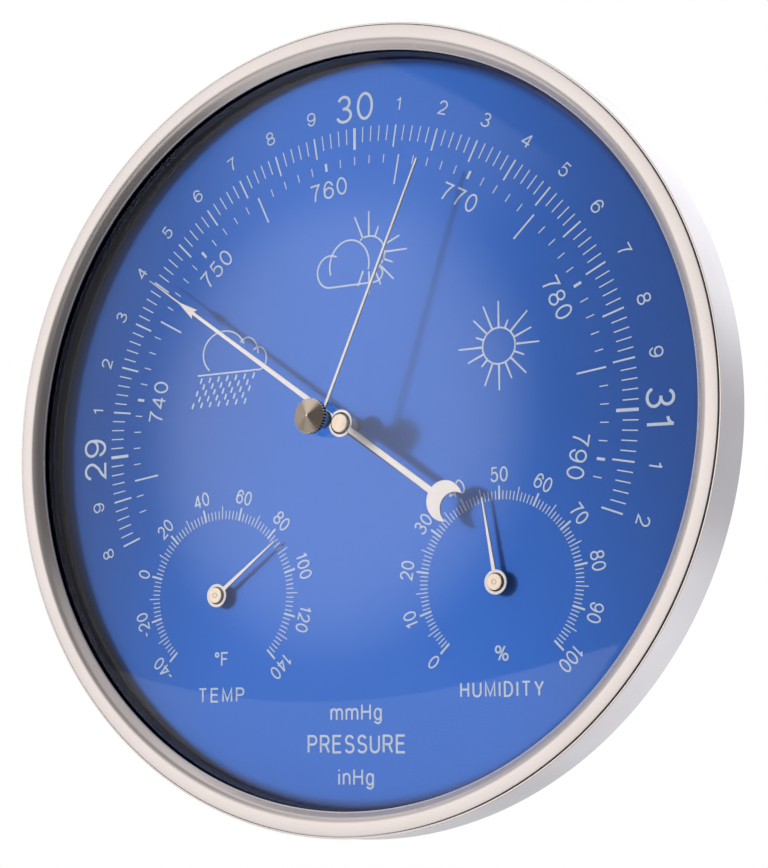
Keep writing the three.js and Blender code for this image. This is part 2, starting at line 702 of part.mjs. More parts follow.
// Pressure capsule with rippled faces, standing on the base plate, and its stud
const capsuleMiddle = (capsuleFront + baseFront) / 2;
function rippleFace(face, inward) {
  return RIPPLE_SHARES.map((share, i) => {
    return [share * CAPSULE_RADIUS, face + (i % 2 ? 0 : inward * CAPSULE_RIPPLE)];
  });
}
const capsuleSkin = CAPSULE_RIPPLE + STEP_GAP;
add('aneroid_capsule', turned([
  [0, capsuleFront],
  ...rippleFace(capsuleFront, 1).reverse(),
  [CAPSULE_RADIUS, capsuleMiddle - CAPSULE_RIPPLE],
  [CAPSULE_RADIUS, capsuleMiddle + CAPSULE_RIPPLE],
  ...rippleFace(baseFront - capsuleSkin, -1),
  [CAPSULE_BOSS, baseFront - capsuleSkin],
  [CAPSULE_BOSS, baseFront],
  [0, baseFront],
], 2 * PIN_SIDES), metal(0xc2b280, 0.35));
add('capsule_stud', turned([
  [0, studFront],
  [STUD_RADIUS, studFront],
  [STUD_RADIUS, capsuleFront - 2 * STEP_GAP - CONTACT_GAP],
  [CAPSULE_BOSS, capsuleFront - 2 * STEP_GAP],
  [CAPSULE_BOSS, capsuleFront - STEP_GAP],
  [0, capsuleFront - STEP_GAP],
], PIN_SIDES), metal(STEEL_DARK, 0.35));

// Hairspring between dial and bridge, held at its outer end by a stud
const hairCoil = spiral(HAIR_INNER, HAIR_OUTER, HAIR_TURNS, HAIR_STRIP);
add('hairspring', plate(hairCoil, hairFront, hairBack), metal(0x5b6f9a, 0.3));
const hairStudZ = HAIR_OUTER + HAIR_STRIP + SEAT_GAP + PIN_RADIUS;
add('hairspring_stud', rodAt(0, hairStudZ, PIN_RADIUS, hairFront, bridgeFront), metal(BRASS_ROD, 0.35));

// Movement plates
const bridgeShape = outline([
  [-BRIDGE_PILLAR_X - BRIDGE_EAR, BRIDGE_PILLAR_Z - BRIDGE_EAR],
  [-BRIDGE_NOSE, BRIDGE_TAIL_Z],
  [BRIDGE_NOSE, BRIDGE_TAIL_Z],
  [BRIDGE_PILLAR_X + BRIDGE_EAR, BRIDGE_PILLAR_Z - BRIDGE_EAR],
  [BRIDGE_PILLAR_X + BRIDGE_EAR, BRIDGE_PILLAR_Z + BRIDGE_EAR],
  [BRIDGE_NOSE, sectorZ + BRIDGE_NOSE],
  [-BRIDGE_NOSE, sectorZ + BRIDGE_NOSE],
  [-BRIDGE_PILLAR_X - BRIDGE_EAR, BRIDGE_PILLAR_Z + BRIDGE_EAR],
]);
bridgeShape.holes.push(circle(0, 0, pivotHole), circle(0, sectorZ, pivotHole));
add('bridge_plate', plate(bridgeShape, bridgeFront, bridgeBack), metal(BRASS, 0.35));

const lowerShape = disc(baseRadius, BODY_SIDES);
const slotTop = rockerZ + ROCKER_SLOT_FRONT;
const slotFoot = rockerZ - ROCKER_SLOT_BACK;
const slotHalf = PIN_RADIUS + LINK_GAP;
lowerShape.holes.push(circle(0, 0, pivotHole), circle(0, sectorZ, pivotHole));
lowerShape.holes.push(outline([
  [tail.x - slotHalf, slotFoot],
  [tail.x + slotHalf, slotFoot],
  [tail.x + slotHalf, slotTop],
  [tail.x - slotHalf, slotTop],
]));
add('lower_plate', plate(lowerShape, lowerFront, lowerBack), metal(BRASS, 0.35));

for (const [name, side] of [['bridge_pillar_left', -1], ['bridge_pillar_right', 1]]) {
  const pillar = rodAt(side * BRIDGE_PILLAR_X, BRIDGE_PILLAR_Z, PILLAR_RADIUS, bridgeBack, lowerFront);
  add(name, pillar, metal(BRASS_ROD, 0.35));
}
around(PILLARS, baseRadius - PILLAR_INSET, 0.5).forEach((place, i) => {
  const pillar = rodAt(place.x, place.z, PILLAR_RADIUS, lowerBack, baseFront);
  add(`movement_pillar_${i + 1}`, pillar, metal(BRASS_ROD, 0.35));
});

// Base plate, screwed to bosses of the rear cover
const baseScrewPlaces = around(BASE_SCREWS, baseScrewCircle, 0);
const adjust = clock(360 / BASE_SCREWS + ADJUST_AFTER, baseScrewCircle);
const baseShape = disc(baseRadius, BODY_SIDES);
baseShape.holes.push(circle(adjust.x, adjust.z, holeFor(ADJUST_RADIUS, RUN_GAP)));
for (const place of baseScrewPlaces) {
  baseShape.holes.push(circle(place.x, place.z, screwHole));
}
add('base_plate', plate(baseShape, baseFront, baseBack), metal(SHEET_STEEL, 0.4));

// Slotted screw whose head faces front (-1) or back (+1) of its seat
function screw(seat, end, facing) {
  const head = seat + facing * SCREW_HEAD_HEIGHT;
  const shank = [[0, end], [SCREW_RADIUS, end], [SCREW_RADIUS, seat]];
  const profile = [...shank, [SCREW_HEAD, seat], [SCREW_HEAD, head], [0, head]];
  const blank = turned(facing > 0 ? profile : profile.reverse(), PIN_SIDES);
  const slot = new THREE.BoxGeometry(3 * SCREW_HEAD, 2 * SLOT_DEPTH, SLOT_WIDTH).translate(0, head, 0);
  return cut(blank, slot);
}

baseScrewPlaces.forEach((place, i) => {
  const geometry = screw(baseFront, coverFront + SCREW_BITE / 2, -1).translate(place.x, 0, place.z);
  add(`base_screw_${i + 1}`, geometry, metal(STEEL, 0.35));
});

// Rear tub: tube with a flange on the case and inner bosses for the cover screws
const bossFront = coverFront - BOSS_LENGTH;
const coverScrewPlaces = around(COVER_SCREWS, bossCircle, 0.5);
const tub = ring([
  [housingInner, caseBack],
  [flangeRadius, caseBack],
  [flangeRadius, caseBack + HOUSING_FLANGE],
  [housingRadius, caseBack + HOUSING_FLANGE],
  [housingRadius, coverFront],
  [housingInner, coverFront],
], BODY_SIDES);
const bosses = coverScrewPlaces.map((place) => {
  const reach = (bossCircle + HOUSING_WALL) / bossCircle;
  const web = bar(place.x, place.z, place.x * reach, place.z * reach, 2 * BOSS_RADIUS);
  return plate(web, bossFront, coverFront);
});
const coverBores = coverScrewPlaces.map((place) => {
  return rodAt(place.x, place.z, screwHole, bossFront + SCREW_BITE, coverFront + SEAT_GAP);
});
const flangeDrills = flangeHoles(caseBack - SEAT_GAP, caseBack + HOUSING_FLANGE + SEAT_GAP);
add('back_housing', cut(join(tub, ...bosses), ...coverBores, ...flangeDrills), plastic(HOUSING_BLACK, 0.6));

housingScrewPlaces.forEach((place, i) => {
  const geometry = screw(caseBack + HOUSING_FLANGE, dialBack + SEAT_GAP, 1).translate(place.x, 0, place.z);
  add(`housing_screw_${i + 1}`, geometry, metal(STEEL, 0.35));
});

// Rear cover: keyhole, vents, access hole, counterbores, and bosses for the base plate
const slotAngle = THREE.MathUtils.radToDeg(Math.asin(KEYHOLE_SLOT / 2 / KEYHOLE_RADIUS));
const keyhole = outline([
  ...arc(0, KEYHOLE_Z, KEYHOLE_RADIUS, slotAngle, 360 - slotAngle, 2 * PIN_SIDES),
  ...arc(0, KEYHOLE_Z + KEYHOLE_RUN, KEYHOLE_SLOT / 2, -90, 90, PIN_SIDES),
]);
const coverShape = disc(housingRadius, BODY_SIDES);
coverShape.holes.push(keyhole, circle(adjust.x, adjust.z, holeFor(ADJUST_RADIUS, PASS_GAP)));
for (let i = 0; i < VENT_COUNT; i += 1) {
  const ventX = (i - (VENT_COUNT - 1) / 2) * VENT_PITCH;
  coverShape.holes.push(bar(ventX, VENT_Z - VENT_LENGTH / 2, ventX, VENT_Z + VENT_LENGTH / 2, VENT_WIDTH));
}
const coverBosses = baseScrewPlaces.map((place) => {
  return rodAt(place.x, place.z, BASE_BOSS, baseBack, coverFront + SEAT_GAP);
});
const baseBores = baseScrewPlaces.map((place) => {
  return rodAt(place.x, place.z, screwHole, baseBack - SEAT_GAP, coverFront + SCREW_BITE);
});
const headSeat = -SCREW_HEAD_HEIGHT - SEAT_GAP;
const counterbores = coverScrewPlaces.map((place) => {
  return rodAt(place.x, place.z, holeFor(SCREW_HEAD, RUN_GAP), headSeat, SEAT_GAP);
});
const coverDrills = coverScrewPlaces.map((place) => {
  return rodAt(place.x, place.z, screwHole, coverFront - SEAT_GAP, headSeat + SEAT_GAP);
});
const coverBlank = join(plate(coverShape, coverFront, 0), ...coverBosses);
add('back_cover', cut(coverBlank, ...baseBores, ...counterbores, ...coverDrills), plastic(HOUSING_BLACK, 0.6));

coverScrewPlaces.forEach((place, i) => {
  const geometry = screw(headSeat, bossFront + 2 * SCREW_BITE, 1).translate(place.x, 0, place.z);
  add(`cover_screw_${i + 1}`, geometry, metal(STEEL, 0.35));
});

// Zero adjuster, threaded in the base plate and reached through the cover
const adjustBlank = rodAt(adjust.x, adjust.z, ADJUST_RADIUS, baseFront + STEP_GAP, -ADJUST_RECESS);
const adjustSlot = new THREE.BoxGeometry(3 * ADJUST_RADIUS, 2 * SLOT_DEPTH, SLOT_WIDTH)
  .translate(adjust.x, -ADJUST_RECESS, adjust.z);
add('calibration_screw', cut(adjustBlank, adjustSlot), metal(BRASS, 0.35));

// Thermometer and hygrometer: hand, hub and arbor, with a coil in a bracket behind the dial
const smallFront = dialFace - SMALL_RISE;
const smallBack = smallFront + HAND_THICK;
const coilFront = dialBack + COIL_START;
const coilBack = coilFront + COIL_WIDTH;
const armFront = coilBack + BRACKET_CLEAR;
const armBack = armFront + BRACKET_SHEET;
const smallPivot = holeFor(SMALL_ARBOR_RADIUS, RUN_GAP);

function smallHand(reach) {
  const blade = outline([
    [-SMALL_SHAFT_ROOT / 2, -SMALL_TAIL],
    [SMALL_SHAFT_ROOT / 2, -SMALL_TAIL],
    [SMALL_SHAFT_ROOT / 2, 0],
    [SMALL_SHAFT_TIP / 2, reach],
    [-SMALL_SHAFT_TIP / 2, reach],
    [-SMALL_SHAFT_ROOT / 2, 0],
  ]);
  const handRing = plate(disc(SMALL_RING_RADIUS), smallFront, smallBack);
  const bore = rod(holeFor(SMALL_TUBE_RADIUS, RUN_GAP), smallFront - SEAT_GAP, smallBack + SEAT_GAP);
  return cut(join(plate(blade, smallFront, smallBack), handRing), bore);
}

// C-shaped bracket: foot on the dial's back, post beside the coil, arm for the rear pivot
function coilBracket(inwardAngle) {
  const postReach = COIL_OUTER + COIL_STRIP + SEAT_GAP + BRACKET_SHEET;
  const post = clock(inwardAngle, postReach);
  const footShape = bar(0, 0, post.x, post.z, BRACKET_WIDTH);
  const bracket = join(
    plate(footShape, dialBack, dialBack + BRACKET_SHEET),
    plate(disc(BRACKET_BOSS), dialBack, dialBack + BRACKET_SHEET),
    plate(footShape, armFront, armBack),
    rodAt(post.x, post.z, BRACKET_SHEET, dialBack, armBack),
  );
  return cut(bracket, rod(smallPivot, dialBack - SEAT_GAP, armBack + SEAT_GAP));
}

function smallInstrument(name, side, angle, reach, turns, coilColor) {
  const x = side * SMALL_X;
  const pointer = pointerGroup(x, SMALL_Z, angle);
  const hubShape = hub(
    SMALL_CAP_RADIUS,
    SMALL_CAP_HEIGHT,
    SMALL_TUBE_RADIUS,
    SMALL_TUBE_LENGTH,
    smallFront,
    SMALL_ARBOR_RADIUS,
  );
  add(`${name}_hand`, smallHand(reach), metal(HAND_SILVER, 0.4), pointer);
  add(`${name}_hub`, hubShape, metal(HUB_BRASS, 0.35), pointer);
  const arbor = rod(SMALL_ARBOR_RADIUS, smallFront + STEP_GAP, armBack);
  add(`${name}_arbor`, arbor, metal(BRASS_ROD, 0.3), pointer);
  const inward = THREE.MathUtils.radToDeg(Math.atan2(-x, -SMALL_Z));
  const frame = pointerGroup(x, SMALL_Z, 0);
  add(`${name}_bracket`, coilBracket(inward), metal(SHEET_STEEL, 0.4), frame);
  const coil = pointerGroup(x, SMALL_Z, inward - 360 * (turns % 1));
  const strip = spiral(COIL_INNER, COIL_OUTER, turns, COIL_STRIP);
  add(`${name}_coil`, plate(strip, coilFront, coilBack), metal(coilColor, 0.4), coil);
}

smallInstrument('thermo', -1, THERMO_ANGLE, THERMO_REACH, THERMO_TURNS, COIL_COPPER);
smallInstrument('hygro', 1, HYGRO_ANGLE, HYGRO_REACH, HYGRO_TURNS, COIL_BRASS);

export default station;
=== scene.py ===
"""Looks of the analog weather station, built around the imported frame.

Lengths are in millimetres unless said otherwise. The dial faces -Y, and +Z is up.
"""
import math

import bmesh
import bpy
from mathutils import Matrix, Vector


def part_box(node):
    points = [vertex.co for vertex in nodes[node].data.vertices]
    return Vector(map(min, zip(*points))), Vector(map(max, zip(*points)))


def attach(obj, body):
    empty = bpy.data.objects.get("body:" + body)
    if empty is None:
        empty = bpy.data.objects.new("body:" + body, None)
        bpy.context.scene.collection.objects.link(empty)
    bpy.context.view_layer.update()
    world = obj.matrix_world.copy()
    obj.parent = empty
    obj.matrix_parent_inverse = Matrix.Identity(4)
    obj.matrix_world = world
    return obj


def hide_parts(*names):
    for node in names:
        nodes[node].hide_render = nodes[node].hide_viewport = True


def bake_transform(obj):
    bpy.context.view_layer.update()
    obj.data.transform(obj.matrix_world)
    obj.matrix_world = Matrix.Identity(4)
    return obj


MM = 0.001
FRAME_DIGITS = 3  # the frame is read to a micrometre

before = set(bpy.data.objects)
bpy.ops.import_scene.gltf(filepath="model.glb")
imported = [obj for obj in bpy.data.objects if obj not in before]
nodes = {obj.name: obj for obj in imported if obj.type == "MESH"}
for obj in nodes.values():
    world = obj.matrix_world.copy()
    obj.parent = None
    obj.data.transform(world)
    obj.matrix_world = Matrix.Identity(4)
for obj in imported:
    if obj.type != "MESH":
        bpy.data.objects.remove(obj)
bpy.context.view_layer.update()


# Measures from the frame

def front(node):
    """Depth of a CAD node's front, which faces -Y."""
    return round(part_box(node)[0].y / MM, FRAME_DIGITS)


def rear(node):
    """Depth of a CAD node's rear."""
    return round(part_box(node)[1].y / MM, FRAME_DIGITS)


def reach(node):
    """Largest radius of a CAD node about the main axis."""
    return round(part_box(node)[1].x / MM, FRAME_DIGITS)


def middle(node):
    """Middle of a CAD node in X and Z."""
    low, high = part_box(node)
    centre = (low + high) / 2 / MM
    return (round(centre.x, FRAME_DIGITS), round(centre.z, FRAME_DIGITS))


DIAL_FACE = front("dial_plate")
DIAL_BACK = rear("dial_plate")
THERMO_CENTRE = middle("thermo_hub")
HYGRO_CENTRE = middle("hygro_hub")


def linear(*color):
    """Scene-linear colour of an sRGB colour given in 0 to 255."""
    shares = [value / 255.0 for value in color]
    return (*(s / 12.92 if s <= 0.04045 else ((s + 0.055) / 1.055) ** 2.4 for s in shares), 1.0)


# Materials

NOISE_LOW = 0.3  # most values of a noise texture lie between these two
NOISE_HIGH = 0.7
SMOOTHEST = 0.02  # least roughness that a pattern leaves


class Nodes:
    """The node tree of a material or a world, with short ways to fill it."""

    def __init__(self, owner):
        owner.use_nodes = True
        self.owner = owner
        self.tree = owner.node_tree

    def link(self, source, target):
        self.tree.links.new(source, target)

    def node(self, kind, inputs=None, **settings):
        """A new node. Its inputs are values or the outputs of other nodes."""
        made = self.tree.nodes.new(kind)
        for key, value in settings.items():
            setattr(made, key, value)
        for key, value in (inputs or {}).items():
            if isinstance(value, bpy.types.NodeSocket):
                self.link(value, made.inputs[key])
            else:
                made.inputs[key].default_value = value
        return made

    def calculate(self, operation, *values):
        return self.node("ShaderNodeMath", dict(enumerate(values)), operation=operation).outputs[0]

    def split(self, vector):
        """The X, Y and Z of a vector."""
        return self.node("ShaderNodeSeparateXYZ", {0: vector}).outputs

    def spread(self, source, low, high, start=NOISE_LOW, end=NOISE_HIGH, kind="LINEAR"):
        """Moves values between start and end to the range from low to high."""
        made = self.node("ShaderNodeMapRange", {
            "Value": source, "From Min": start, "From Max": end, "To Min": low, "To Max": high,
        }, interpolation_type=kind)
        return made.outputs["Result"]


class Shader(Nodes):
    """A material with a Principled shader, and the textures that vary it."""

    def __init__(self, name, color, metallic, roughness, **inputs):
        super().__init__(bpy.data.materials.new(name))
        self.bsdf = self.tree.nodes["Principled BSDF"]
        self.color = color
        self.roughness = roughness
        inputs.update(Base_Color=color, Metallic=metallic, Roughness=roughness)
        for key, value in inputs.items():
            self.bsdf.inputs[key.replace("_", " ")].default_value = value

    def place(self):
        """Object coordinates, in metres."""
        return self.node("ShaderNodeTexCoord").outputs["Object"]

    def polar(self, across, around, depth=None):
        """Radius, angle and depth about the Y axis, each scaled."""
        x, y, z = self.split(self.place())
        square = self.calculate("MULTIPLY_ADD", z, z, self.calculate("MULTIPLY", x, x))
        radius = self.calculate("SQRT", square)
        angle = self.calculate("ARCTAN2", x, z)
        join = self.node("ShaderNodeCombineXYZ", {0: radius, 1: angle, 2: y})
        scale = (across, around, across if depth is None else depth)
        scaled = self.node("ShaderNodeVectorMath", {0: join.outputs[0], 1: scale}, operation="MULTIPLY")
        return scaled.outputs[0]

    def noise(self, scale, vector=None, detail=3.0):
        made = self.node("ShaderNodeTexNoise", {
            "Scale": scale, "Detail": detail, "Vector": vector or self.place(),
        })
        return made.outputs["Fac"]

    def mix_color(self, share, source, color):
        """Goes from a source's colour to a fixed one by a share."""
        made = self.node("ShaderNodeMix", {"B": color, "Factor": share, "A": source}, data_type="RGBA")
        return made.outputs["Result"]

    def tint(self, source, amount):
        """Lightens and darkens the base colour by a share."""
        ramp = self.node("ShaderNodeValToRGB", {"Fac": source})
        ramp.color_ramp.elements[0].position = NOISE_LOW
        ramp.color_ramp.elements[1].position = NOISE_HIGH
        for element, share in zip(ramp.color_ramp.elements, (1.0 - amount, 1.0 + amount)):
            element.color = tuple(min(1.0, part * share) for part in self.color[:3]) + (1.0,)
        self.link(ramp.outputs["Color"], self.bsdf.inputs["Base Color"])
        return self

    def rough(self, source, amount):
        """Varies the roughness by an amount to either side."""
        least = max(SMOOTHEST, self.roughness - amount)
        varied = self.spread(source, least, self.roughness + amount)
        self.link(varied, self.bsdf.inputs["Roughness"])
        return self

    def bump(self, source, depth, strength=1.0):
        """Raises and sinks the surface by a depth."""
        made = self.node("ShaderNodeBump", {
            "Strength": strength, "Distance": depth * MM, "Height": source,
        })
        self.link(made.outputs["Normal"], self.bsdf.inputs["Normal"])


RING_AROUND = 1.2  # scale of the turned rings round the axis
RING_DETAIL = 4.0
RING_ROUGH = 0.05  # share of the roughness that the rings vary
EVEN_GRAIN = 50.0
METAL_CLOUD = 60.0
PLAIN_ROUGH = 0.1
PLAIN_FINER = 3.0  # how much finer than the cloud the roughness varies
PLAIN_GRAIN = 12.0  # how much finer than the cloud the grain is


def turned_metal(name, color, roughness, grain, lines=0.0, tint=0.04, metallic=1.0, **inputs):
    """Metal turned or spun about the Y axis: fine rings, or an even grain, and a faint cloud."""
    made = Shader(name, color, metallic, roughness, **inputs)
    if grain:
        pattern = made.noise(1.0, made.polar(grain, RING_AROUND), RING_DETAIL)
    else:
        pattern = made.noise(EVEN_GRAIN)
    made.tint(made.noise(METAL_CLOUD), tint)
    made.rough(pattern, roughness * RING_ROUGH)
    if lines:
        made.bump(pattern, lines)
    return made


def plain(name, color, metallic, roughness, scale, tint, grain):
    """Even finish with a faint cloud and a fine grain."""
    made = Shader(name, color, metallic, roughness)
    made.tint(made.noise(scale), tint)
    made.rough(made.noise(scale * PLAIN_FINER), roughness * PLAIN_ROUGH)
    if grain:
        made.bump(made.noise(scale * PLAIN_GRAIN), grain, 0.5)
    return made


# Painted light on the dial: a lit middle tone, a side tone in painted shade, and a rim tone in dark painted
# shade
DIAL_LIT_MIDDLE = (0.021, 0.120, 0.490, 1.0)
DIAL_SHADED_SIDE = (0.013, 0.061, 0.255, 1.0)
DIAL_RIM_SHADE = (0.003, 0.008, 0.055, 1.0)
DIAL_BARE = linear(176, 178, 182)  # metal behind the paint
DIAL_LOW = 0.4  # how far the painted light keeps its middle tone below
DIAL_FADE = (4.0, 60.0)  # distances from the middle line over which painted shade deepens the blue
DIAL_SHADE = (58.3, 60.5)  # radii between which painted shade darkens the paint, where the spacer and bezel shade the dial
PAINT_DEPTH = 0.2
PAINT_GRAIN = 400.0


def dial_paint():
    """Blue satin lacquer with painted light: lit down the middle, with painted shade towards the sides (less
    so below) and a dark painted shade near the rim.
    """
    made = Shader("dial_blue", DIAL_LIT_MIDDLE, 0.1, 0.36, Specular_IOR_Level=0.25)
    x, y, z = made.split(made.place())
    low = made.calculate("MINIMUM", z, 0.0)
    aside = made.calculate("MULTIPLY_ADD", low, DIAL_LOW, made.calculate("ABSOLUTE", x))
    # Painted light and shade: the blue is lit down the middle and shaded towards the sides, less so below
    fade = made.spread(aside, 0.0, 1.0, DIAL_FADE[0] * MM, DIAL_FADE[1] * MM)
    ramp = made.node("ShaderNodeValToRGB", {"Fac": fade})
    ramp.color_ramp.interpolation = "EASE"
    ramp.color_ramp.elements[0].color = DIAL_LIT_MIDDLE
    ramp.color_ramp.elements[1].color = DIAL_SHADED_SIDE
    # Painted shade: the blue darkens towards the rim, under the spacer
    radius = made.split(made.polar(1.0, 0.0))[0]
    rim = made.spread(radius, 0.0, 1.0, DIAL_SHADE[0] * MM, DIAL_SHADE[1] * MM, "SMOOTHSTEP")
    shaded = made.mix_color(rim, ramp.outputs["Color"], DIAL_RIM_SHADE)
    behind = made.calculate("GREATER_THAN", y, (DIAL_FACE + PAINT_DEPTH) * MM)
    painted = made.mix_color(behind, shaded, DIAL_BARE)
    made.link(painted, made.bsdf.inputs["Base Color"])
    return made.rough(made.noise(PAINT_GRAIN), 0.03)


RIB_SCALE = 2600.0
RIB_DETAIL = 2.0


def ribbed_black():
    """Smooth black plastic with faint ribs one behind the other; its blue tint is a painted reflection of
    the dial.
    """
    # The blue in this black is a painted reflection of the blue dial
    made = Shader("spacer_black", linear(6, 6, 26), 0.0, 0.18, Specular_IOR_Level=0.45)
    ribs = made.noise(1.0, made.polar(0.0, 0.0, RIB_SCALE), RIB_DETAIL)
    return made.tint(ribs, 0.4).rough(ribs, 0.03)


LENS_MIRROR = (0.034, 0.6)  # share that the lens mirrors face on and at a glance
LENS_GLANCE = 5.0  # how late the second takes over
LENS_HAZE = (0.02, 0.05)  # roughness of clean and of smeared places
LENS_SMEAR = 30.0


def glass():
    """Thin clear lens: it passes light straight through and mirrors more towards its edge."""
    made = Nodes(bpy.data.materials.new("lens_clear"))
    made.tree.nodes.remove(made.tree.nodes["Principled BSDF"])
    facing = made.node("ShaderNodeLayerWeight").outputs["Facing"]
    share = made.spread(made.calculate("POWER", facing, LENS_GLANCE), *LENS_MIRROR, 0.0, 1.0)
    smear = made.node("ShaderNodeTexNoise", {"Scale": LENS_SMEAR, "Detail": 1.0}).outputs["Fac"]
    haze = made.spread(smear, *LENS_HAZE, 0.0, 1.0)
    clear = made.node("ShaderNodeBsdfTransparent").outputs[0]
    mirror = made.node("ShaderNodeBsdfGlossy", {"Roughness": haze}).outputs[0]
    mix = made.node("ShaderNodeMixShader", {"Fac": share, 1: clear, 2: mirror})
    made.link(mix.outputs[0], made.tree.nodes["Material Output"].inputs["Surface"])
    return made


dial_blue = dial_paint()
spacer_black = ribbed_black()
lens_clear = glass()

# Turned finishes: colour, roughness, scale of the rings, their depth, tint, share of metal
case_metal = turned_metal("case_metal", linear(171, 167, 171), 0.26, 2500.0, 0.0, 0.06)
bezel_metal = turned_metal("bezel_metal", linear(201, 191, 186), 0.27, 0.0, 0.0, 0.02, 0.7)
knob_nickel = turned_metal("knob_nickel", linear(232, 212, 192), 0.14, 9000.0, Anisotropic=0.5)
# Lighter and darker copies of the knob's metal: a painted highlight on the knurl's teeth and painted shade
# in its gaps
knob_edge_highlight = turned_metal("knob_edge_highlight", linear(236, 228, 220), 0.20, 0.0)
knob_gap_shade = turned_metal("knob_gap_shade", linear(46, 40, 40), 0.45, 0.0)
hub_nickel = turned_metal("hub_nickel", linear(226, 206, 184), 0.30, 7000.0, 0.0, 0.05, 0.55)
capsule_bronze = turned_metal("capsule_bronze", linear(196, 172, 118), 0.34, 1800.0, 0.002, 0.10)

# Even finishes: colour, share of metal, roughness, scale of the pattern, tint, depth of the grain
ink_silver = plain("ink_silver", linear(178, 188, 200), 0.25, 0.40, 900.0, 0.04, 0.0)
seal_rubber = plain("seal_rubber", linear(20, 19, 19), 0.0, 0.7, 400.0, 0.15, 0.01)
bush_plastic = plain("bush_plastic", linear(200, 198, 192), 0.0, 0.35, 600.0, 0.05, 0.003)
tube_brass = plain("tube_brass", linear(226, 214, 172), 0.3, 0.32, 800.0, 0.05, 0.0)
# Dark metal as painted shade for the gap inside each hand's ring
hub_gap_shade = plain("hub_gap_shade", linear(58, 52, 48), 1.0, 0.45, 800.0, 0.2, 0.003)
hand_silver = plain("hand_silver", linear(216, 208, 203), 0.7, 0.36, 500.0, 0.03, 0.0)
movement_brass = plain("movement_brass", linear(205, 168, 92), 1.0, 0.30, 300.0, 0.10, 0.003)
movement_steel = plain("movement_steel", linear(176, 178, 182), 1.0, 0.32, 300.0, 0.10, 0.003)
spring_steel = plain("spring_steel", linear(82, 96, 140), 1.0, 0.28, 600.0, 0.15, 0.002)
screw_steel = plain("screw_steel", linear(182, 184, 188), 1.0, 0.30, 700.0, 0.12, 0.004)
housing_plastic = plain("housing_plastic", linear(30, 30, 32), 0.0, 0.52, 500.0, 0.18, 0.02)
coil_bimetal = plain("coil_bimetal", linear(188, 142, 100), 1.0, 0.30, 500.0, 0.12, 0.003)
floor_white = plain("floor_white", (0.9, 0.9, 0.9, 1.0), 0.0, 0.8, 4.0, 0.03, 0.0)

# The knob's sheen runs round its axis
tangent = knob_nickel.node("ShaderNodeTangent", direction_type="RADIAL", axis="Y")
knob_nickel.link(tangent.outputs["Tangent"], knob_nickel.bsdf.inputs["Tangent"])


# Shapes

SHARP = 32.0  # degrees between faces from which an edge stays sharp
TOUCHING = 1e-6
FILLET_MOST = 0.48  # share of a side that a fillet may take up
BEVEL_STEPS = 2
RING_SIDES = 320
TURN_SIDES = 256
HUB_SIDES = 96


def add_object(name, data):
    made = bpy.data.objects.new(name, data)
    bpy.context.scene.collection.objects.link(made)
    return made


def finish_mesh(name, bm, shader, sharp=SHARP):
    """Object from a bmesh in metres, smooth but for edges sharper than the angle."""
    bmesh.ops.recalc_face_normals(bm, faces=bm.faces)
    mesh = bpy.data.meshes.new(name)
    bm.to_mesh(mesh)
    bm.free()
    for face in mesh.polygons:
        face.use_smooth = True
    mesh.set_sharp_from_angle(angle=math.radians(sharp))
    mesh.materials.append(shader.owner)
    return add_object(name, mesh)


def second_finish(made, shader, chosen):
    """Another finish for the faces whose depth a test chooses."""
    made.data.materials.append(shader.owner)
    for face in made.data.polygons:
        face.material_index = int(chosen(face.center.y / MM))


def rounded(corners, steps=5):
    """Points of a closed outline whose corners (r, y, fillet) are rounded off."""
    points = []
    count = len(corners)
    for index, corner in enumerate(corners):
        here = Vector(corner[:2])
        fillet = corner[2] if len(corner) > 2 else 0.0
        before = Vector(corners[index - 1][:2]) - here
        after = Vector(corners[(index + 1) % count][:2]) - here
        cut = min(fillet, before.length * FILLET_MOST, after.length * FILLET_MOST)
        if cut < TOUCHING:
            points.append(here)
            continue
        start = here + before.normalized() * cut
        end = here + after.normalized() * cut
        for step in range(steps + 1):
            share = step / steps
            points.append(start * (1 - share) ** 2 + here * 2 * share * (1 - share) + end * share ** 2)
    return points


def add_turned(bm, profile, sides, centre=(0.0, 0.0)):
    """Turns a closed outline of (r, y) points about a Y axis. Points on the axis close it there."""
    rings = []
    for radius, y in profile:
        if radius < TOUCHING:
            rings.append([bm.verts.new((centre[0] * MM, y * MM, centre[1] * MM))])
            continue
        ring = []
        for x, z in circle(radius, centre, sides):
            ring.append(bm.verts.new((x * MM, y * MM, z * MM)))
        rings.append(ring)
    for index, low in enumerate(rings):
        high = rings[(index + 1) % len(rings)]
        if len(low) == 1 and len(high) == 1:
            continue
        for side in range(sides):
            after = (side + 1) % sides
            if len(low) == 1:
                bm.faces.new((low[0], high[side], high[after]))
            elif len(high) == 1:
                bm.faces.new((low[side], low[after], high[0]))
            else:
                bm.faces.new((low[side], low[after], high[after], high[side]))


def skin(bm, rows, looped=False):
    """Faces between rows of corners, and at both ends unless the rows close a loop."""
    count = len(rows[0])
    pairs = list(zip(rows, rows[1:]))
    if looped:
        pairs.append((rows[-1], rows[0]))
    for low, high in pairs:
        for corner in range(count):
            after = (corner + 1) % count
            bm.faces.new((low[corner], low[after], high[after], high[corner]))
    if not looped:
        bm.faces.new(rows[0])
        bm.faces.new(list(reversed(rows[-1])))


def turned(name, profile, shader, sides=TURN_SIDES, centre=(0.0, 0.0)):
    bm = bmesh.new()
    add_turned(bm, profile, sides, centre)
    return finish_mesh(name, bm, shader)


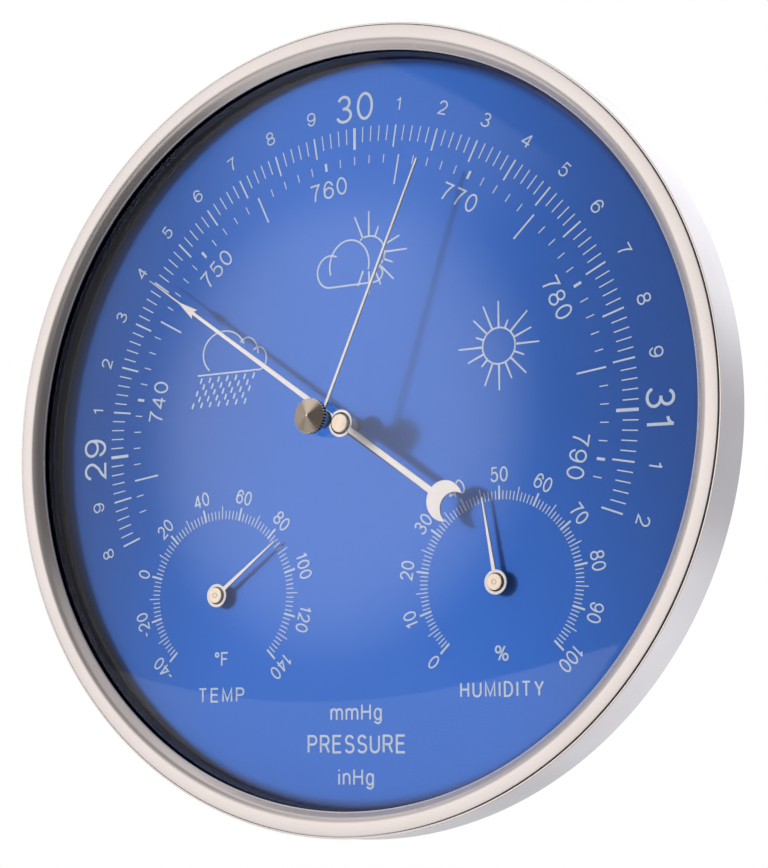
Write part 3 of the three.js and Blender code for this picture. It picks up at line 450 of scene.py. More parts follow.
def sheet(name, loops, near, far, shader, bevel):
    """Flat plate in X and Z between two depths, cut to outlines and holes, with rounded edges."""
    curve = bpy.data.curves.new(name, "CURVE")
    curve.dimensions = "2D"
    curve.fill_mode = "BOTH"
    curve.extrude = (far - near) / 2 * MM - bevel * MM
    curve.bevel_depth = bevel * MM
    curve.bevel_resolution = BEVEL_STEPS
    curve.offset = -bevel * MM
    for loop in loops:
        spline = curve.splines.new("POLY")
        spline.points.add(len(loop) - 1)
        spline.use_cyclic_u = True
        for point, (x, z) in zip(spline.points, loop):
            point.co = (x * MM, z * MM, 0.0, 1.0)
    holder = add_object(name, curve)
    shown = holder.evaluated_get(bpy.context.evaluated_depsgraph_get())
    flat = bpy.data.meshes.new_from_object(shown)
    bm = bmesh.new()
    bm.from_mesh(flat)
    bpy.data.objects.remove(holder)
    bpy.data.curves.remove(curve)
    bpy.data.meshes.remove(flat)
    upright = Matrix(((1, 0, 0, 0), (0, 0, -1, (near + far) / 2 * MM), (0, 1, 0, 0), (0, 0, 0, 1)))
    bmesh.ops.transform(bm, matrix=upright, verts=bm.verts)
    return finish_mesh(name, bm, shader)


def circle(radius, centre=(0.0, 0.0), sides=HUB_SIDES):
    """Points of a closed circle, clockwise from the top."""
    angles = [2 * math.pi * side / sides for side in range(sides)]
    return [(centre[0] + radius * math.sin(angle), centre[1] + radius * math.cos(angle)) for angle in angles]


def arc(cx, cy, rx, ry, start, end, steps=18):
    """Points of a stretched arc, degrees from +X towards +Y of the flat."""
    angles = [math.radians(start + (end - start) * step / steps) for step in range(steps + 1)]
    return [(cx + rx * math.cos(angle), cy + ry * math.sin(angle)) for angle in angles]


def bent(centre, radius, start, end, steps=24):
    """Points of a round arc, with the angles of arc."""
    return arc(centre[0], centre[1], radius, radius, start, end, steps)


def along(angle, points, centre=(0.0, 0.0)):
    """Points (along, across) of a hand that points clockwise from the top by an angle."""
    sine = math.sin(math.radians(angle))
    cosine = math.cos(math.radians(angle))
    return [(centre[0] + s * sine + t * cosine, centre[1] + s * cosine - t * sine) for s, t in points]


def settle(made, body, slot, *replaced):
    """A piece moves with its body, and stands for the CAD nodes that it shows better."""
    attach(made, body)
    if replaced:
        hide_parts(*replaced)


# Case and front

FIT = 0.2  # clearance round the rings inside the case band
TUB_WALL = 1.8
TUB_INNER = reach("back_cover") - TUB_WALL
BAND_FRONT = front("case_ring")
BAND_REAR = rear("case_ring")
INNER_REACH = reach("spacer_ring")  # radius of the rings inside the band
BAND_INNER = INNER_REACH + FIT
LIP_FRONT = BAND_FRONT - 0.42  # the lip stands out beside the bezel; the bezel's lighter finish on it is a painted highlight
LIP_INNER = 64.35
LIP_OUTER = 64.62
LIP_NECK = 64.48
LIP_DEPTH = 0.1

band = turned("case_band", rounded([
    (BAND_INNER, BAND_FRONT, 0.05), (LIP_INNER, BAND_FRONT),
    (LIP_INNER, LIP_FRONT, 0.02), (LIP_OUTER, LIP_FRONT, 0.03),
    (LIP_OUTER, BAND_FRONT - LIP_DEPTH, 0.06), (LIP_NECK, BAND_FRONT + LIP_DEPTH, 0.06),
    (reach("case_ring"), BAND_REAR, 0.3), (TUB_INNER, BAND_REAR),
    (TUB_INNER, DIAL_BACK), (BAND_INNER, DIAL_BACK),
]), case_metal, RING_SIDES)
# The lip's faces take the bezel's lighter finish as a painted highlight
second_finish(band, bezel_metal, lambda depth: depth < LIP_FRONT + LIP_DEPTH)
settle(band, "case", "case_metal", "case_ring")

OPENING = 60.5  # radius of the bezel's opening
BEZEL_REACH = reach("bezel_ring")
BEZEL_REAR = rear("bezel_ring")
BEZEL_NOSE = -26.38  # front of the edge round the opening
BEZEL_SLOPE_LOW = (60.68, -26.44)
BEZEL_SLOPE_HIGH = (61.76, -27.78)
BEZEL_UNDERSIDE = -27.42
LENS_SEAT = reach("lens") + FIT
GASKET_FRONT = front("lens_gasket")

settle(turned("bezel", rounded([
    (OPENING, BEZEL_NOSE, 0.05), (*BEZEL_SLOPE_LOW, 0.05),
    (*BEZEL_SLOPE_HIGH, 0.8), (BEZEL_REACH, front("bezel_ring"), 0.1),
    (BEZEL_REACH, BEZEL_UNDERSIDE, 0.06), (INNER_REACH, BEZEL_UNDERSIDE),
    (INNER_REACH, BEZEL_REAR), (LENS_SEAT, BEZEL_REAR),
    (LENS_SEAT, GASKET_FRONT), (OPENING, GASKET_FRONT),
]), bezel_metal, RING_SIDES), "case", "bezel_metal", "bezel_ring")

LENS_RISE = 7.7
LENS_RADIUS = 60.3
LENS_HOLE = 1.6
LENS_POWER = 2.6  # flat in the middle and steep at the rim
LENS_STEPS = 64
LENS_RIM_FRONT = rear("lens_gasket")
LENS_THICK = rear("lens") - LENS_RIM_FRONT


def lens_front(radius):
    """Depth of the dome's front at a radius."""
    return LENS_RIM_FRONT - LENS_RISE * (1.0 - (radius / LENS_RADIUS) ** LENS_POWER)


lens_radii = [LENS_HOLE + (LENS_RADIUS - LENS_HOLE) * i / LENS_STEPS for i in range(LENS_STEPS + 1)]
lens_profile = [(radius, lens_front(radius)) for radius in lens_radii]
lens_profile.append((reach("lens"), LENS_RIM_FRONT))
lens_profile += [(radius, y + LENS_THICK) for radius, y in reversed(lens_profile)]
settle(turned("lens_dome", lens_profile, lens_clear), "case", "lens_clear", "lens")

SPACER_FOOT = 60.25
settle(turned("spacer", rounded([
    (OPENING, BEZEL_REAR, 0.15), (INNER_REACH, BEZEL_REAR),
    (INNER_REACH, DIAL_FACE), (SPACER_FOOT, DIAL_FACE),
]), spacer_black), "case", "spacer_black", "spacer_ring")

GASKET_INNER = 61.0
settle(turned("gasket", rounded([
    (GASKET_INNER, GASKET_FRONT), (reach("lens_gasket"), GASKET_FRONT),
    (reach("lens_gasket"), LENS_RIM_FRONT), (GASKET_INNER, LENS_RIM_FRONT),
]), seal_rubber), "case", "seal_rubber", "lens_gasket")

BUSH_BORE = 0.81
BUSH_TIP = 1.2
BUSH_NECK = (1.35, -34.0)
BUSH_FRONT = front("lens_bush")
BUSH_REAR = rear("lens_bush")
BUSH_REACH = reach("lens_bush")
BUSH_SHANK = BUSH_REACH - 0.6
BUSH_SEAT = BUSH_REAR - LENS_THICK
BUSH_FLANGE = 0.23
settle(turned("bush", rounded([
    (BUSH_BORE, BUSH_FRONT), (BUSH_TIP, BUSH_FRONT, 0.08),
    (*BUSH_NECK, 0.3), (BUSH_REACH, BUSH_SEAT - BUSH_FLANGE, 0.1),
    (BUSH_REACH, BUSH_SEAT, 0.05), (BUSH_SHANK, BUSH_SEAT),
    (BUSH_SHANK, BUSH_REAR, 0.1), (BUSH_BORE, BUSH_REAR),
]), bush_plastic, HUB_SIDES), "case", "bush_plastic", "lens_bush")


# Set pointer

SET_BORE = 0.72
KNOB_TIP = front("set_knob")
KNOB_PIT = 1.25  # bottom of the spindle's hole, behind the tip
KNOB_TEETH = 36
KNOB_TOOTH_SIDES = 4
KNOB_RADIUS = 2.86
KNOB_CUT = 0.34
KNOB_SHARP = 28.0
KNOB_ROWS = [  # radius, distance behind the tip and share of the tooth cut
    (0.2, 0.06, 0.0), (1.2, 0.34, 0.0), (2.2, 0.61, 0.0), (2.66, 0.74, 0.0), (2.70, 0.77, 0.3),
    (KNOB_RADIUS, 0.86, 1.0), (KNOB_RADIUS, 1.45, 1.0), (2.76, 1.61, 0.6), (2.6, 1.65, 0.0),
    (SET_BORE, 1.65, 0.0), (SET_BORE, KNOB_PIT, 0.0),
]
KNOB_KNURL = range(3, 8)  # rows of faces that carry the teeth


def knob():
    """Turned cone with a knurled rim: teeth in a lighter copy of its metal as a painted highlight, gaps in a
    dark copy as painted shade.
    """
    bm = bmesh.new()
    sides = KNOB_TEETH * KNOB_TOOTH_SIDES
    rings = []
    for radius, behind, cut in KNOB_ROWS:
        y = (KNOB_TIP + behind) * MM
        ring = []
        for side in range(sides):
            angle = 2 * math.pi * side / sides
            wave = abs(math.sin(KNOB_TEETH * angle / 2))
            far = (radius - KNOB_CUT * cut * (1.0 - wave)) * MM
            ring.append(bm.verts.new((far * math.sin(angle), y, far * math.cos(angle))))
        rings.append(ring)
    tip = bm.verts.new((0.0, KNOB_TIP * MM, 0.0))
    pit = bm.verts.new((0.0, (KNOB_TIP + KNOB_PIT) * MM, 0.0))
    for side in range(sides):
        after = (side + 1) % sides
        in_gap = side % KNOB_TOOTH_SIDES in (0, KNOB_TOOTH_SIDES - 1)
        bm.faces.new((tip, rings[0][side], rings[0][after]))
        bm.faces.new((rings[-1][side], rings[-1][after], pit))
        for row, (low, high) in enumerate(zip(rings, rings[1:])):
            face = bm.faces.new((low[side], low[after], high[after], high[side]))
            # Teeth take the painted highlight, gaps the painted shade
            if row in KNOB_KNURL:
                face.material_index = 2 if in_gap else 1
    made = finish_mesh("knob", bm, knob_nickel, KNOB_SHARP)
    made.data.materials.append(knob_edge_highlight.owner)
    made.data.materials.append(knob_gap_shade.owner)
    return made


settle(knob(), "set_pointer", "knob_nickel", "set_knob")

SET_ANGLE = 21.25
SET_TILT = 4.43
SET_REACH = 43.3
SET_DISC = 1.5
SET_FRONT = front("set_hand")
SET_BACK = SET_FRONT + 0.3
SET_WIDTHS = ((1.0, 0.55), (SET_REACH - 0.3, 0.4), (SET_REACH, 0.22))  # at distances from the axis
SET_EDGE = 0.06  # width of the slope at the front edges
SET_EDGE_DEPTH = 0.07
SET_DISC_SIDES = 64


def set_hand():
    """Long thin needle that leans towards the dial, on a small disc."""
    bm = bmesh.new()
    add_turned(bm, rounded([
        (SET_BORE, SET_FRONT), (SET_DISC, SET_FRONT, SET_EDGE),
        (SET_DISC, SET_BACK, SET_EDGE), (SET_BORE, SET_BACK),
    ]), SET_DISC_SIDES)
    lean = math.tan(math.radians(SET_TILT))
    rows = []
    for distance, width in SET_WIDTHS:
        half = width / 2
        section = (
            (-half + SET_EDGE, SET_FRONT), (half - SET_EDGE, SET_FRONT),
            (half, SET_FRONT + SET_EDGE_DEPTH), (half, SET_BACK),
            (-half, SET_BACK), (-half, SET_FRONT + SET_EDGE_DEPTH),
        )
        row = []
        for across, y in section:
            x, z = along(SET_ANGLE, [(distance, across)])[0]
            row.append(bm.verts.new((x * MM, (y + distance * lean) * MM, z * MM)))
        rows.append(row)
    skin(bm, rows)
    return finish_mesh("set_needle", bm, hand_silver)


settle(set_hand(), "set_pointer", "hand_silver", "set_hand")


# Pressure hand

HAND_BEVEL = 0.05
BARO_ANGLE = -54.2
BARO_RING = 2.2
BARO_GAP = 1.76
BARO_GAP_SIDES = 72
BARO_ROOT = 0.46  # half width where the hand meets its ring
BARO_TAIL = 0.55  # half width of the tail's stem
BARO_ARROW = [  # distance from the axis and half width: tip, neck, barb, notch and root
    (47.1, 0.075), (39.1, 0.15), (35.3, 0.9), (35.75, 0.275), (2.15, BARO_ROOT),
]
MOON_CENTRE = -23.1
MOON_RADIUS = 3.2
CUT_CENTRE = -25.2
CUT_RADIUS = 2.5


def baro_outline():
    """Arrow, ring and crescent tail."""
    ring_start = math.degrees(math.asin(BARO_ROOT / BARO_RING))
    ring_end = 180.0 - math.degrees(math.asin(BARO_TAIL / BARO_RING))
    join = math.degrees(math.asin(BARO_TAIL / MOON_RADIUS))
    apart = MOON_CENTRE - CUT_CENTRE
    horns = (apart ** 2 + MOON_RADIUS ** 2 - CUT_RADIUS ** 2) / (2 * apart)
    outer_end = math.degrees(math.acos(-horns / MOON_RADIUS))
    height = math.sqrt(MOON_RADIUS ** 2 - horns ** 2)
    inner_start = math.degrees(math.atan2(height, MOON_CENTRE - horns - CUT_CENTRE))
    side = BARO_ARROW + bent((0.0, 0.0), BARO_RING, ring_start, ring_end)
    side += bent((MOON_CENTRE, 0.0), MOON_RADIUS, join, outer_end, 30)
    side += bent((CUT_CENTRE, 0.0), CUT_RADIUS, inner_start, 0.0)[1:]
    return side + [(s, -t) for s, t in reversed(side[:-1])]


baro_loops = [along(BARO_ANGLE, baro_outline()), circle(BARO_GAP, sides=BARO_GAP_SIDES)]
baro_hand = sheet(
    "pressure_hand", baro_loops, front("baro_hand"), rear("baro_hand"), hand_silver, HAND_BEVEL,
)
settle(baro_hand, "baro_pointer", "hand_silver", "baro_hand")

HUB_FRONT = front("baro_hub") + 0.12
HUB_REAR = rear("baro_hub")
HUB_CAP = 1.47
HUB_CAP_BACK = -26.35
HUB_TUBE = 1.25
HUB_TUBE_START = -26.1
HUB_NECK = 1.12
HUB_NECK_SPAN = (-25.0, -24.6)
HUB_NECK_SLOPE = 0.1
hub = turned("pressure_hub", rounded([
    (0.0, HUB_FRONT), (HUB_CAP, HUB_FRONT, 0.12),
    (HUB_CAP, HUB_CAP_BACK), (HUB_TUBE, HUB_TUBE_START),
    (HUB_TUBE, HUB_NECK_SPAN[0] - HUB_NECK_SLOPE, 0.04), (HUB_NECK, HUB_NECK_SPAN[0]),
    (HUB_NECK, HUB_NECK_SPAN[1]), (HUB_TUBE, HUB_NECK_SPAN[1] + HUB_NECK_SLOPE, 0.04),
    (HUB_TUBE, HUB_REAR, 0.06), (0.0, HUB_REAR),
]), hub_nickel, HUB_SIDES)
second_finish(hub, tube_brass, lambda depth: depth > HUB_TUBE_START)
settle(hub, "baro_pointer", "hub_nickel", "baro_hub")

SEAT_PLAY = 0.01  # gap between a tube and the seat in dark painted shade round it
BARO_SEAT = (1.95, -26.3, -26.12)  # radius and two depths


def seat(name, tube, radius, near, far, sides, body, centre=(0.0, 0.0)):
    """Ring in dark painted shade that fills the hand's ring behind the cap, where the gap lies in shade."""
    settle(turned(name, rounded([
        (tube + SEAT_PLAY, near), (radius, near), (radius, far, 0.05), (tube + SEAT_PLAY, far),
    ]), hub_gap_shade, sides, centre), body, "hub_nickel")


seat("pressure_seat", HUB_TUBE, *BARO_SEAT, HUB_SIDES, "baro_pointer")


# Small hands

THERMO_HAND = (53.6, 14.1)  # angle at rest and length
HYGRO_HAND = (-9.7, 13.3)
SMALL_RING = 1.92
SMALL_GAP = 1.42
SMALL_SIDES = 64
SMALL_TIP = 0.12  # half width
SMALL_ROOT = (1.9, 0.35)  # distance from the axis and half width
SMALL_RING_END = 178.0
SMALL_CAP = 1.28
SMALL_TUBE = 0.8
SMALL_CAP_BACK = -23.5
SMALL_TUBE_START = -23.4
SMALL_SEAT = (1.7, SMALL_TUBE_START, -23.2)
GROOVE_RADII = (0.30, 0.34, 0.40, 0.44)  # turned groove in the cap's face
GROOVE_DEPTH = 0.07
GROOVE_FILLET = 0.02


def small_outline(length):
    """Needle and ring."""
    start = math.degrees(math.asin(SMALL_ROOT[1] / SMALL_RING))
    side = [(length, SMALL_TIP), SMALL_ROOT] + bent((0.0, 0.0), SMALL_RING, start, SMALL_RING_END)
    return side + [(s, -t) for s, t in reversed(side)]


def small_pointer(name, angle, length, centre):
    """Hand, cap and the seat in dark painted shade, of a small dial."""
    body = f"{name}_pointer"
    hand = f"{name}_hand"
    face = front(f"{name}_hub")
    foot = rear(f"{name}_hub")
    settle(sheet(f"{name}_needle", [
        along(angle, small_outline(length), centre), circle(SMALL_GAP, centre, SMALL_SIDES),
    ], front(hand), rear(hand), hand_silver, HAND_BEVEL), body, "hand_silver", hand)
    groove = [
        (radius, face + depth, GROOVE_FILLET)
        for radius, depth in zip(GROOVE_RADII, (0.0, GROOVE_DEPTH, GROOVE_DEPTH, 0.0))
    ]
    settle(turned(f"{name}_cap", rounded([(0.0, face)] + groove + [
        (SMALL_CAP, face, 0.12),
        (SMALL_CAP, SMALL_CAP_BACK),
        (SMALL_TUBE, SMALL_TUBE_START),
        (SMALL_TUBE, foot),
        (0.0, foot),
    ]), hub_nickel, HUB_SIDES, centre), body, "hub_nickel", f"{name}_hub")
    seat(f"{name}_seat", SMALL_TUBE, *SMALL_SEAT, SMALL_SIDES, body, centre)


small_pointer("thermo", *THERMO_HAND, THERMO_CENTRE)
small_pointer("hygro", *HYGRO_HAND, HYGRO_CENTRE)


# Back

COVER_RADIUS = reach("back_cover")
TUB_RIM = reach("back_housing")
TUB_FRONT = front("back_housing")
TUB_REAR = rear("back_housing")
settle(turned("rear_tub", rounded([
    (TUB_INNER, TUB_FRONT), (TUB_RIM, TUB_FRONT),
    (TUB_RIM, TUB_FRONT + TUB_WALL, 0.4), (COVER_RADIUS, TUB_FRONT + TUB_WALL, 0.3),
    (COVER_RADIUS, TUB_REAR, 0.1), (TUB_INNER, TUB_REAR, 0.1),
]), housing_plastic), "case", "housing_plastic", "back_housing")

COVER_BEVEL = 0.15
KEY_HEAD = 31.0  # height of the keyhole's wide end
KEY_HEAD_RADIUS = 4.5
KEY_SLOT = 37.0  # height of its narrow end
KEY_SLOT_RADIUS = 2.2
VENT_COUNT = 7
VENT_PITCH = 3.6
VENT_HEIGHT = -30.0
VENT_LENGTH = 14.0
VENT_RADIUS = 0.8
SCREW_HOLE = 2.26
SCREW_REACH = -middle("cover_screw_2")[1]
SCREW_ANGLES = (60, 180, 300)
ADJUST_HOLE = 2.38
HOLE_SIDES = 48


def vent(x):
    """Upright slot with round ends."""
    upper = bent((x, VENT_HEIGHT + VENT_LENGTH / 2), VENT_RADIUS, 0, 180, 10)
    lower = bent((x, VENT_HEIGHT - VENT_LENGTH / 2), VENT_RADIUS, 180, 360, 10)
    return upper + lower


def keyhole():
    """Round hole for a nail's head, with a slot above it for the shank."""
    turn = math.degrees(math.asin(KEY_SLOT_RADIUS / KEY_HEAD_RADIUS))
    around = bent((0.0, KEY_HEAD), KEY_HEAD_RADIUS, 90 + turn, 450 - turn, 40)
    return around + bent((0.0, KEY_SLOT), KEY_SLOT_RADIUS, 0, 180, 16)


cover_loops = [circle(COVER_RADIUS, sides=TURN_SIDES), keyhole()]
cover_loops.append(circle(ADJUST_HOLE, middle("calibration_screw"), HOLE_SIDES))
cover_loops += [vent(VENT_PITCH * (column - VENT_COUNT // 2)) for column in range(VENT_COUNT)]
for angle in SCREW_ANGLES:
    cover_loops.append(circle(SCREW_HOLE, along(angle, [(SCREW_REACH, 0.0)])[0], HOLE_SIDES))
cover = sheet("rear_cover", cover_loops, TUB_REAR, rear("back_cover"), housing_plastic, COVER_BEVEL)
settle(cover, "case", "housing_plastic", "back_cover")


# Pressure capsule, one still turned shape; on the barometer its front face sinks and rises with the stud

CAPSULE_FRONT = front("aneroid_capsule")
CAPSULE_FOOT = rear("aneroid_capsule")
CAPSULE_REACH = reach("aneroid_capsule")
CAPSULE_BACK = CAPSULE_FOOT - 0.5
CAPSULE_EDGE = (-7.6, -6.8)
CAPSULE_NECK = 3.0
CAPSULE_SIDES = 128
RIPPLES = [(6.3, 0.0, 1.0), (8.4, 0.4, 1.0), (10.5, 0.0, 1.0), (12.6, 0.4, 0.8)]  # radius, depth, fillet

capsule = turned("capsule", rounded(
    [(0.0, CAPSULE_FRONT)]
    + [(radius, CAPSULE_FRONT + depth, fillet) for radius, depth, fillet in RIPPLES]
    + [(CAPSULE_REACH, y, 0.2) for y in CAPSULE_EDGE]
    + [(radius, CAPSULE_BACK - depth, fillet) for radius, depth, fillet in reversed(RIPPLES)]
    + [(CAPSULE_NECK, CAPSULE_BACK, 0.1), (CAPSULE_NECK, CAPSULE_FOOT), (0.0, CAPSULE_FOOT)]
), capsule_bronze, CAPSULE_SIDES)
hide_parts("aneroid_capsule")
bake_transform(capsule)


# CAD nodes that show as they are

def named(word):
    """CAD nodes with a word in their names."""
    return [name for name in nodes if word in name]


FINISHED_NODES = {
    dial_blue: ["dial_plate"],
    screw_steel: named("screw"),
    movement_brass: [
        "base_plate", "lower_plate", "bridge_plate", "hairspring_stud", "baro_pinion", "sector_gear",
        "set_spindle", "set_nut", "capsule_stud",
        *named("pillar"), *named("rocker_cock"), *named("bracket"),
    ],
    movement_steel: ["connecting_link", "rocker_shaft", *named("arbor")],
    spring_steel: ["hairspring"],
    coil_bimetal: named("coil"),
}
for shader, names in FINISHED_NODES.items():
    for name in names:
        materials = nodes[name].data.materials
        materials.clear()
        materials.append(shader.owner)


# Print on the dial

def oval(cx, cy, rx, ry):
    return arc(cx, cy, rx, ry, 90, 450, 32)


SIX = [oval(0.31, 0.31, 0.31, 0.31), arc(0.33, 0.45, 0.33, 0.55, 195, 28)]
BOWL = [(0, 0), (0, 1), (0.34, 1)] + arc(0.34, 0.74, 0.26, 0.26, 90, -90)[1:] + [(0, 0.48)]
GLYPHS = {  # width and strokes, in heights of a capital
    "0": (0.62, [oval(0.31, 0.5, 0.31, 0.5)]),
    "1": (0.40, [[(0.30, 0), (0.30, 1)], [(0.30, 1), (0.25, 0.88), (0.16, 0.81), (0.04, 0.78)]]),
    "2": (0.62, [
        arc(0.31, 0.70, 0.29, 0.30, 172, -32) + [(0.42, 0.36), (0.17, 0.18), (0.03, 0.0), (0.62, 0.0)],
    ]),
    "3": (0.61, [arc(0.30, 0.76, 0.25, 0.24, 160, -100), arc(0.30, 0.26, 0.31, 0.26, 100, -165)]),
    "4": (0.64, [[(0.47, 0), (0.47, 1)], [(0.47, 1), (0.0, 0.29), (0.64, 0.29)]]),
    "5": (0.61, [[(0.56, 1), (0.13, 1), (0.055, 0.50)] + arc(0.30, 0.325, 0.31, 0.325, 135, -160)]),
    "6": (0.62, SIX),
    "7": (0.60, [[(0, 1), (0.60, 1), (0.43, 0.74), (0.30, 0.42), (0.22, 0)]]),
    "8": (0.62, [oval(0.31, 0.76, 0.26, 0.24), oval(0.31, 0.26, 0.31, 0.26)]),
    "9": (0.62, [[(0.62 - x, 1 - y) for x, y in path] for path in SIX]),
    "-": (0.34, [[(0.0, 0.40), (0.34, 0.40)]]),
    "%": (0.98, [oval(0.2, 0.77, 0.2, 0.23), oval(0.78, 0.23, 0.2, 0.23), [(0.24, 0), (0.74, 1)]]),
    "o": (0.30, [oval(0.15, 0.85, 0.15, 0.15)]),
    "F": (0.56, [[(0, 0), (0, 1), (0.56, 1)], [(0, 0.53), (0.48, 0.53)]]),
    "T": (0.62, [[(0.31, 0), (0.31, 1)], [(0, 1), (0.62, 1)]]),
    "E": (0.58, [[(0.58, 0), (0, 0), (0, 1), (0.58, 1)], [(0, 0.53), (0.52, 0.53)]]),
    "M": (0.74, [[(0, 0), (0, 1), (0.37, 0.08), (0.74, 1), (0.74, 0)]]),
    "P": (0.60, [BOWL]),
    "R": (0.62, [BOWL, [(0.36, 0.48), (0.62, 0)]]),
    "S": (0.60, [arc(0.30, 0.755, 0.27, 0.245, 20, 270) + arc(0.30, 0.255, 0.30, 0.255, 90, -160)[1:]]),
    "U": (0.62, [[(0, 1)] + arc(0.31, 0.31, 0.31, 0.31, 180, 360) + [(0.62, 1)]]),
    "H": (0.62, [[(0, 0), (0, 1)], [(0.62, 0), (0.62, 1)], [(0, 0.52), (0.62, 0.52)]]),
    "I": (0.0, [[(0, 0), (0, 1)]]),
    "D": (0.62, [[(0, 0), (0, 1), (0.25, 1)] + arc(0.25, 0.5, 0.37, 0.5, 90, -90)[1:] + [(0, 0)]]),
    "Y": (0.64, [[(0, 1), (0.32, 0.45), (0.64, 1)], [(0.32, 0.45), (0.32, 0)]]),
    "m": (0.84, [
        [(0, 0), (0, 0.72)],
        arc(0.21, 0.49, 0.21, 0.23, 180, 0, 10) + [(0.42, 0)],
        arc(0.63, 0.49, 0.21, 0.23, 180, 0, 10) + [(0.84, 0)],
    ]),
    "n": (0.46, [[(0, 0), (0, 0.72)], arc(0.23, 0.47, 0.23, 0.25, 180, 0, 12) + [(0.46, 0)]]),
    "i": (0.0, [[(0, 0), (0, 0.72)], [(0, 0.90), (0, 1.0)]]),
    "g": (0.48, [
        oval(0.24, 0.36, 0.24, 0.36),
        [(0.48, 0.72)] + arc(0.24, -0.02, 0.24, 0.24, 0, -155, 14),
    ]),
}


INK_PROUD = 0.03  # how far the ink stands out of the dial
INK_SET_IN = 0.02
INK_LAYER = 0.004  # step between strokes that cross
INK_LAYERS = 5
MITRE_LEAST = 0.5  # keeps a sharp bend from growing a long point


class Print:
    """Thin raised ink in strokes."""

    def __init__(self, name):
        self.name = name
        self.bm = bmesh.new()
        self.layer = 0

    def stroke(self, path, width, end_width=None):
        """A line of ink along a path of (x, z) points."""
        points = [Vector(point) for point in path]
        looped = (points[0] - points[-1]).length < TOUCHING
        if looped:
            points.pop()
        count = len(points)
        rails = []
        for index, here in enumerate(points):
            before = here - points[index - 1] if index or looped else None
            after = points[(index + 1) % count] - here if index + 1 < count or looped else None
            before = (before or after).normalized()
            after = (after or before).normalized()
            lean = (before + after).normalized()
            side = Vector((-lean.y, lean.x))
            share = index / max(1, count - 1)
            half = (width if end_width is None else width + (end_width - width) * share) / 2
            half /= max(MITRE_LEAST, lean.dot(after))
            rails.append((here + side * half, here - side * half))
        self.layer = (self.layer + 1) % INK_LAYERS
        near = DIAL_FACE - INK_PROUD - self.layer * INK_LAYER
        far = DIAL_FACE + INK_SET_IN + self.layer * INK_LAYER
        rows = []
        for left, right in rails:
            rows.append([
                self.bm.verts.new((point.x * MM, y * MM, point.y * MM))
                for point, y in ((left, near), (right, near), (right, far), (left, far))
            ])
        skin(self.bm, rows, looped)

    def tick(self, angle, inner, outer, width, centre=(0.0, 0.0)):
        self.stroke(along(angle, [(inner, 0.0), (outer, 0.0)], centre), width)

    def text(self, words, centre, height, weight, angle=0.0, wide=1.0, gap=0.16):
        """Words about a middle point, turned clockwise. Weight and gap are shares of the height."""
        width = height * weight
        scale = height - width
        advance = [GLYPHS[letter][0] * scale * wide + width + height * gap for letter in words]
        start = -(sum(advance) - height * gap) / 2 + width / 2
        for letter, step in zip(words, advance):
            for path in GLYPHS[letter][1]:
                placed = [((y - 0.5) * scale, start + x * scale * wide) for x, y in path]
                self.stroke(along(angle, placed, centre), width)
            start += step

    def label(self, words, angle, radius, height, weight, centre=(0.0, 0.0), **shape):
        """Words that stand on a circle."""
        self.text(words, along(angle, [(radius, 0.0)], centre)[0], height, weight, angle, **shape)

    def done(self):
        settle(finish_mesh(self.name, self.bm, ink_silver), "case", None)


INCH_TURN = 91.609  # degrees of the dial for one inch of pressure
INCH_TOP = 30
INCH = 25.4

# Ticks: inner end, outer end and width. Figures: radius, height and weight
WHOLE_TICK = (45.70, 49.34, 0.50)
TENTH_TICK = (45.70, 49.34, 0.28)
FIFTIETH_TICK = (46.78, 49.34, 0.18)
WHOLE_FIGURE = (52.8, 4.70, 0.098)
TENTH_FIGURE = (52.8, 2.30, 0.105)
TEN_TICK = (43.15, 44.5, 0.44)
FIVE_TICK = (39.6, 44.5, 0.28)
ONE_TICK = (43.1, 44.5, 0.17)
TEN_FIGURE = (40.0, 2.97, 0.098)
SMALL_FIGURE = (16.6, 2.35, 0.11)
SMALL_TICK_INNER = 12.72
SMALL_TICK_OUTER = (14.1, 14.85)  # of a short and of a long tick
SMALL_TICK_WIDTH = (0.16, 0.32)  # of a tick without and with a figure
SMALL_START = -135  # angle of the first value


def inch_scale():
    """Pressure in inches: a tick every fiftieth, and figures at tenths and whole inches."""
    ink = Print("print_inches")
    for step in range(-60, 61):
        value = INCH_TOP + step * 0.02
        angle = (value - INCH_TOP) * INCH_TURN
        if step % 50 == 0:
            ink.tick(angle, *WHOLE_TICK)
            ink.label(str(round(value)), angle, *WHOLE_FIGURE, gap=0.20)
        elif step % 5 == 0:
            ink.tick(angle, *TENTH_TICK)
            ink.label(str(round(value * 10) % 10), angle, *TENTH_FIGURE, wide=1.08)
        else:
            ink.tick(angle, *FIFTIETH_TICK)
    ink.done()


def millimetre_scale():
    """Pressure in millimetres, inside the inches."""
    ink = Print("print_millimetres")
    for value in range(733, 792):
        angle = (value / INCH - INCH_TOP) * INCH_TURN
        if value % 10 == 0:
            ink.tick(angle, *TEN_TICK)
            ink.label(str(value), angle, *TEN_FIGURE, gap=0.21)
        elif value % 5 == 0:
            ink.tick(angle, *FIVE_TICK)
        else:
            ink.tick(angle, *ONE_TICK)
    ink.done()


def small_scale(name, centre, values, turn, long_every, named_every):
    """Scale of a small dial, with so many degrees for a value."""
    ink = Print(name)
    for value in values:
        angle = SMALL_START + turn * (value - values[0])
        named = value % named_every == 0
        outer = SMALL_TICK_OUTER[value % long_every == 0]
        ink.tick(angle, SMALL_TICK_INNER, outer, SMALL_TICK_WIDTH[named], centre)
        if named:
            ink.label(str(value), angle, *SMALL_FIGURE, centre, wide=0.86, gap=0.12)
    ink.done()


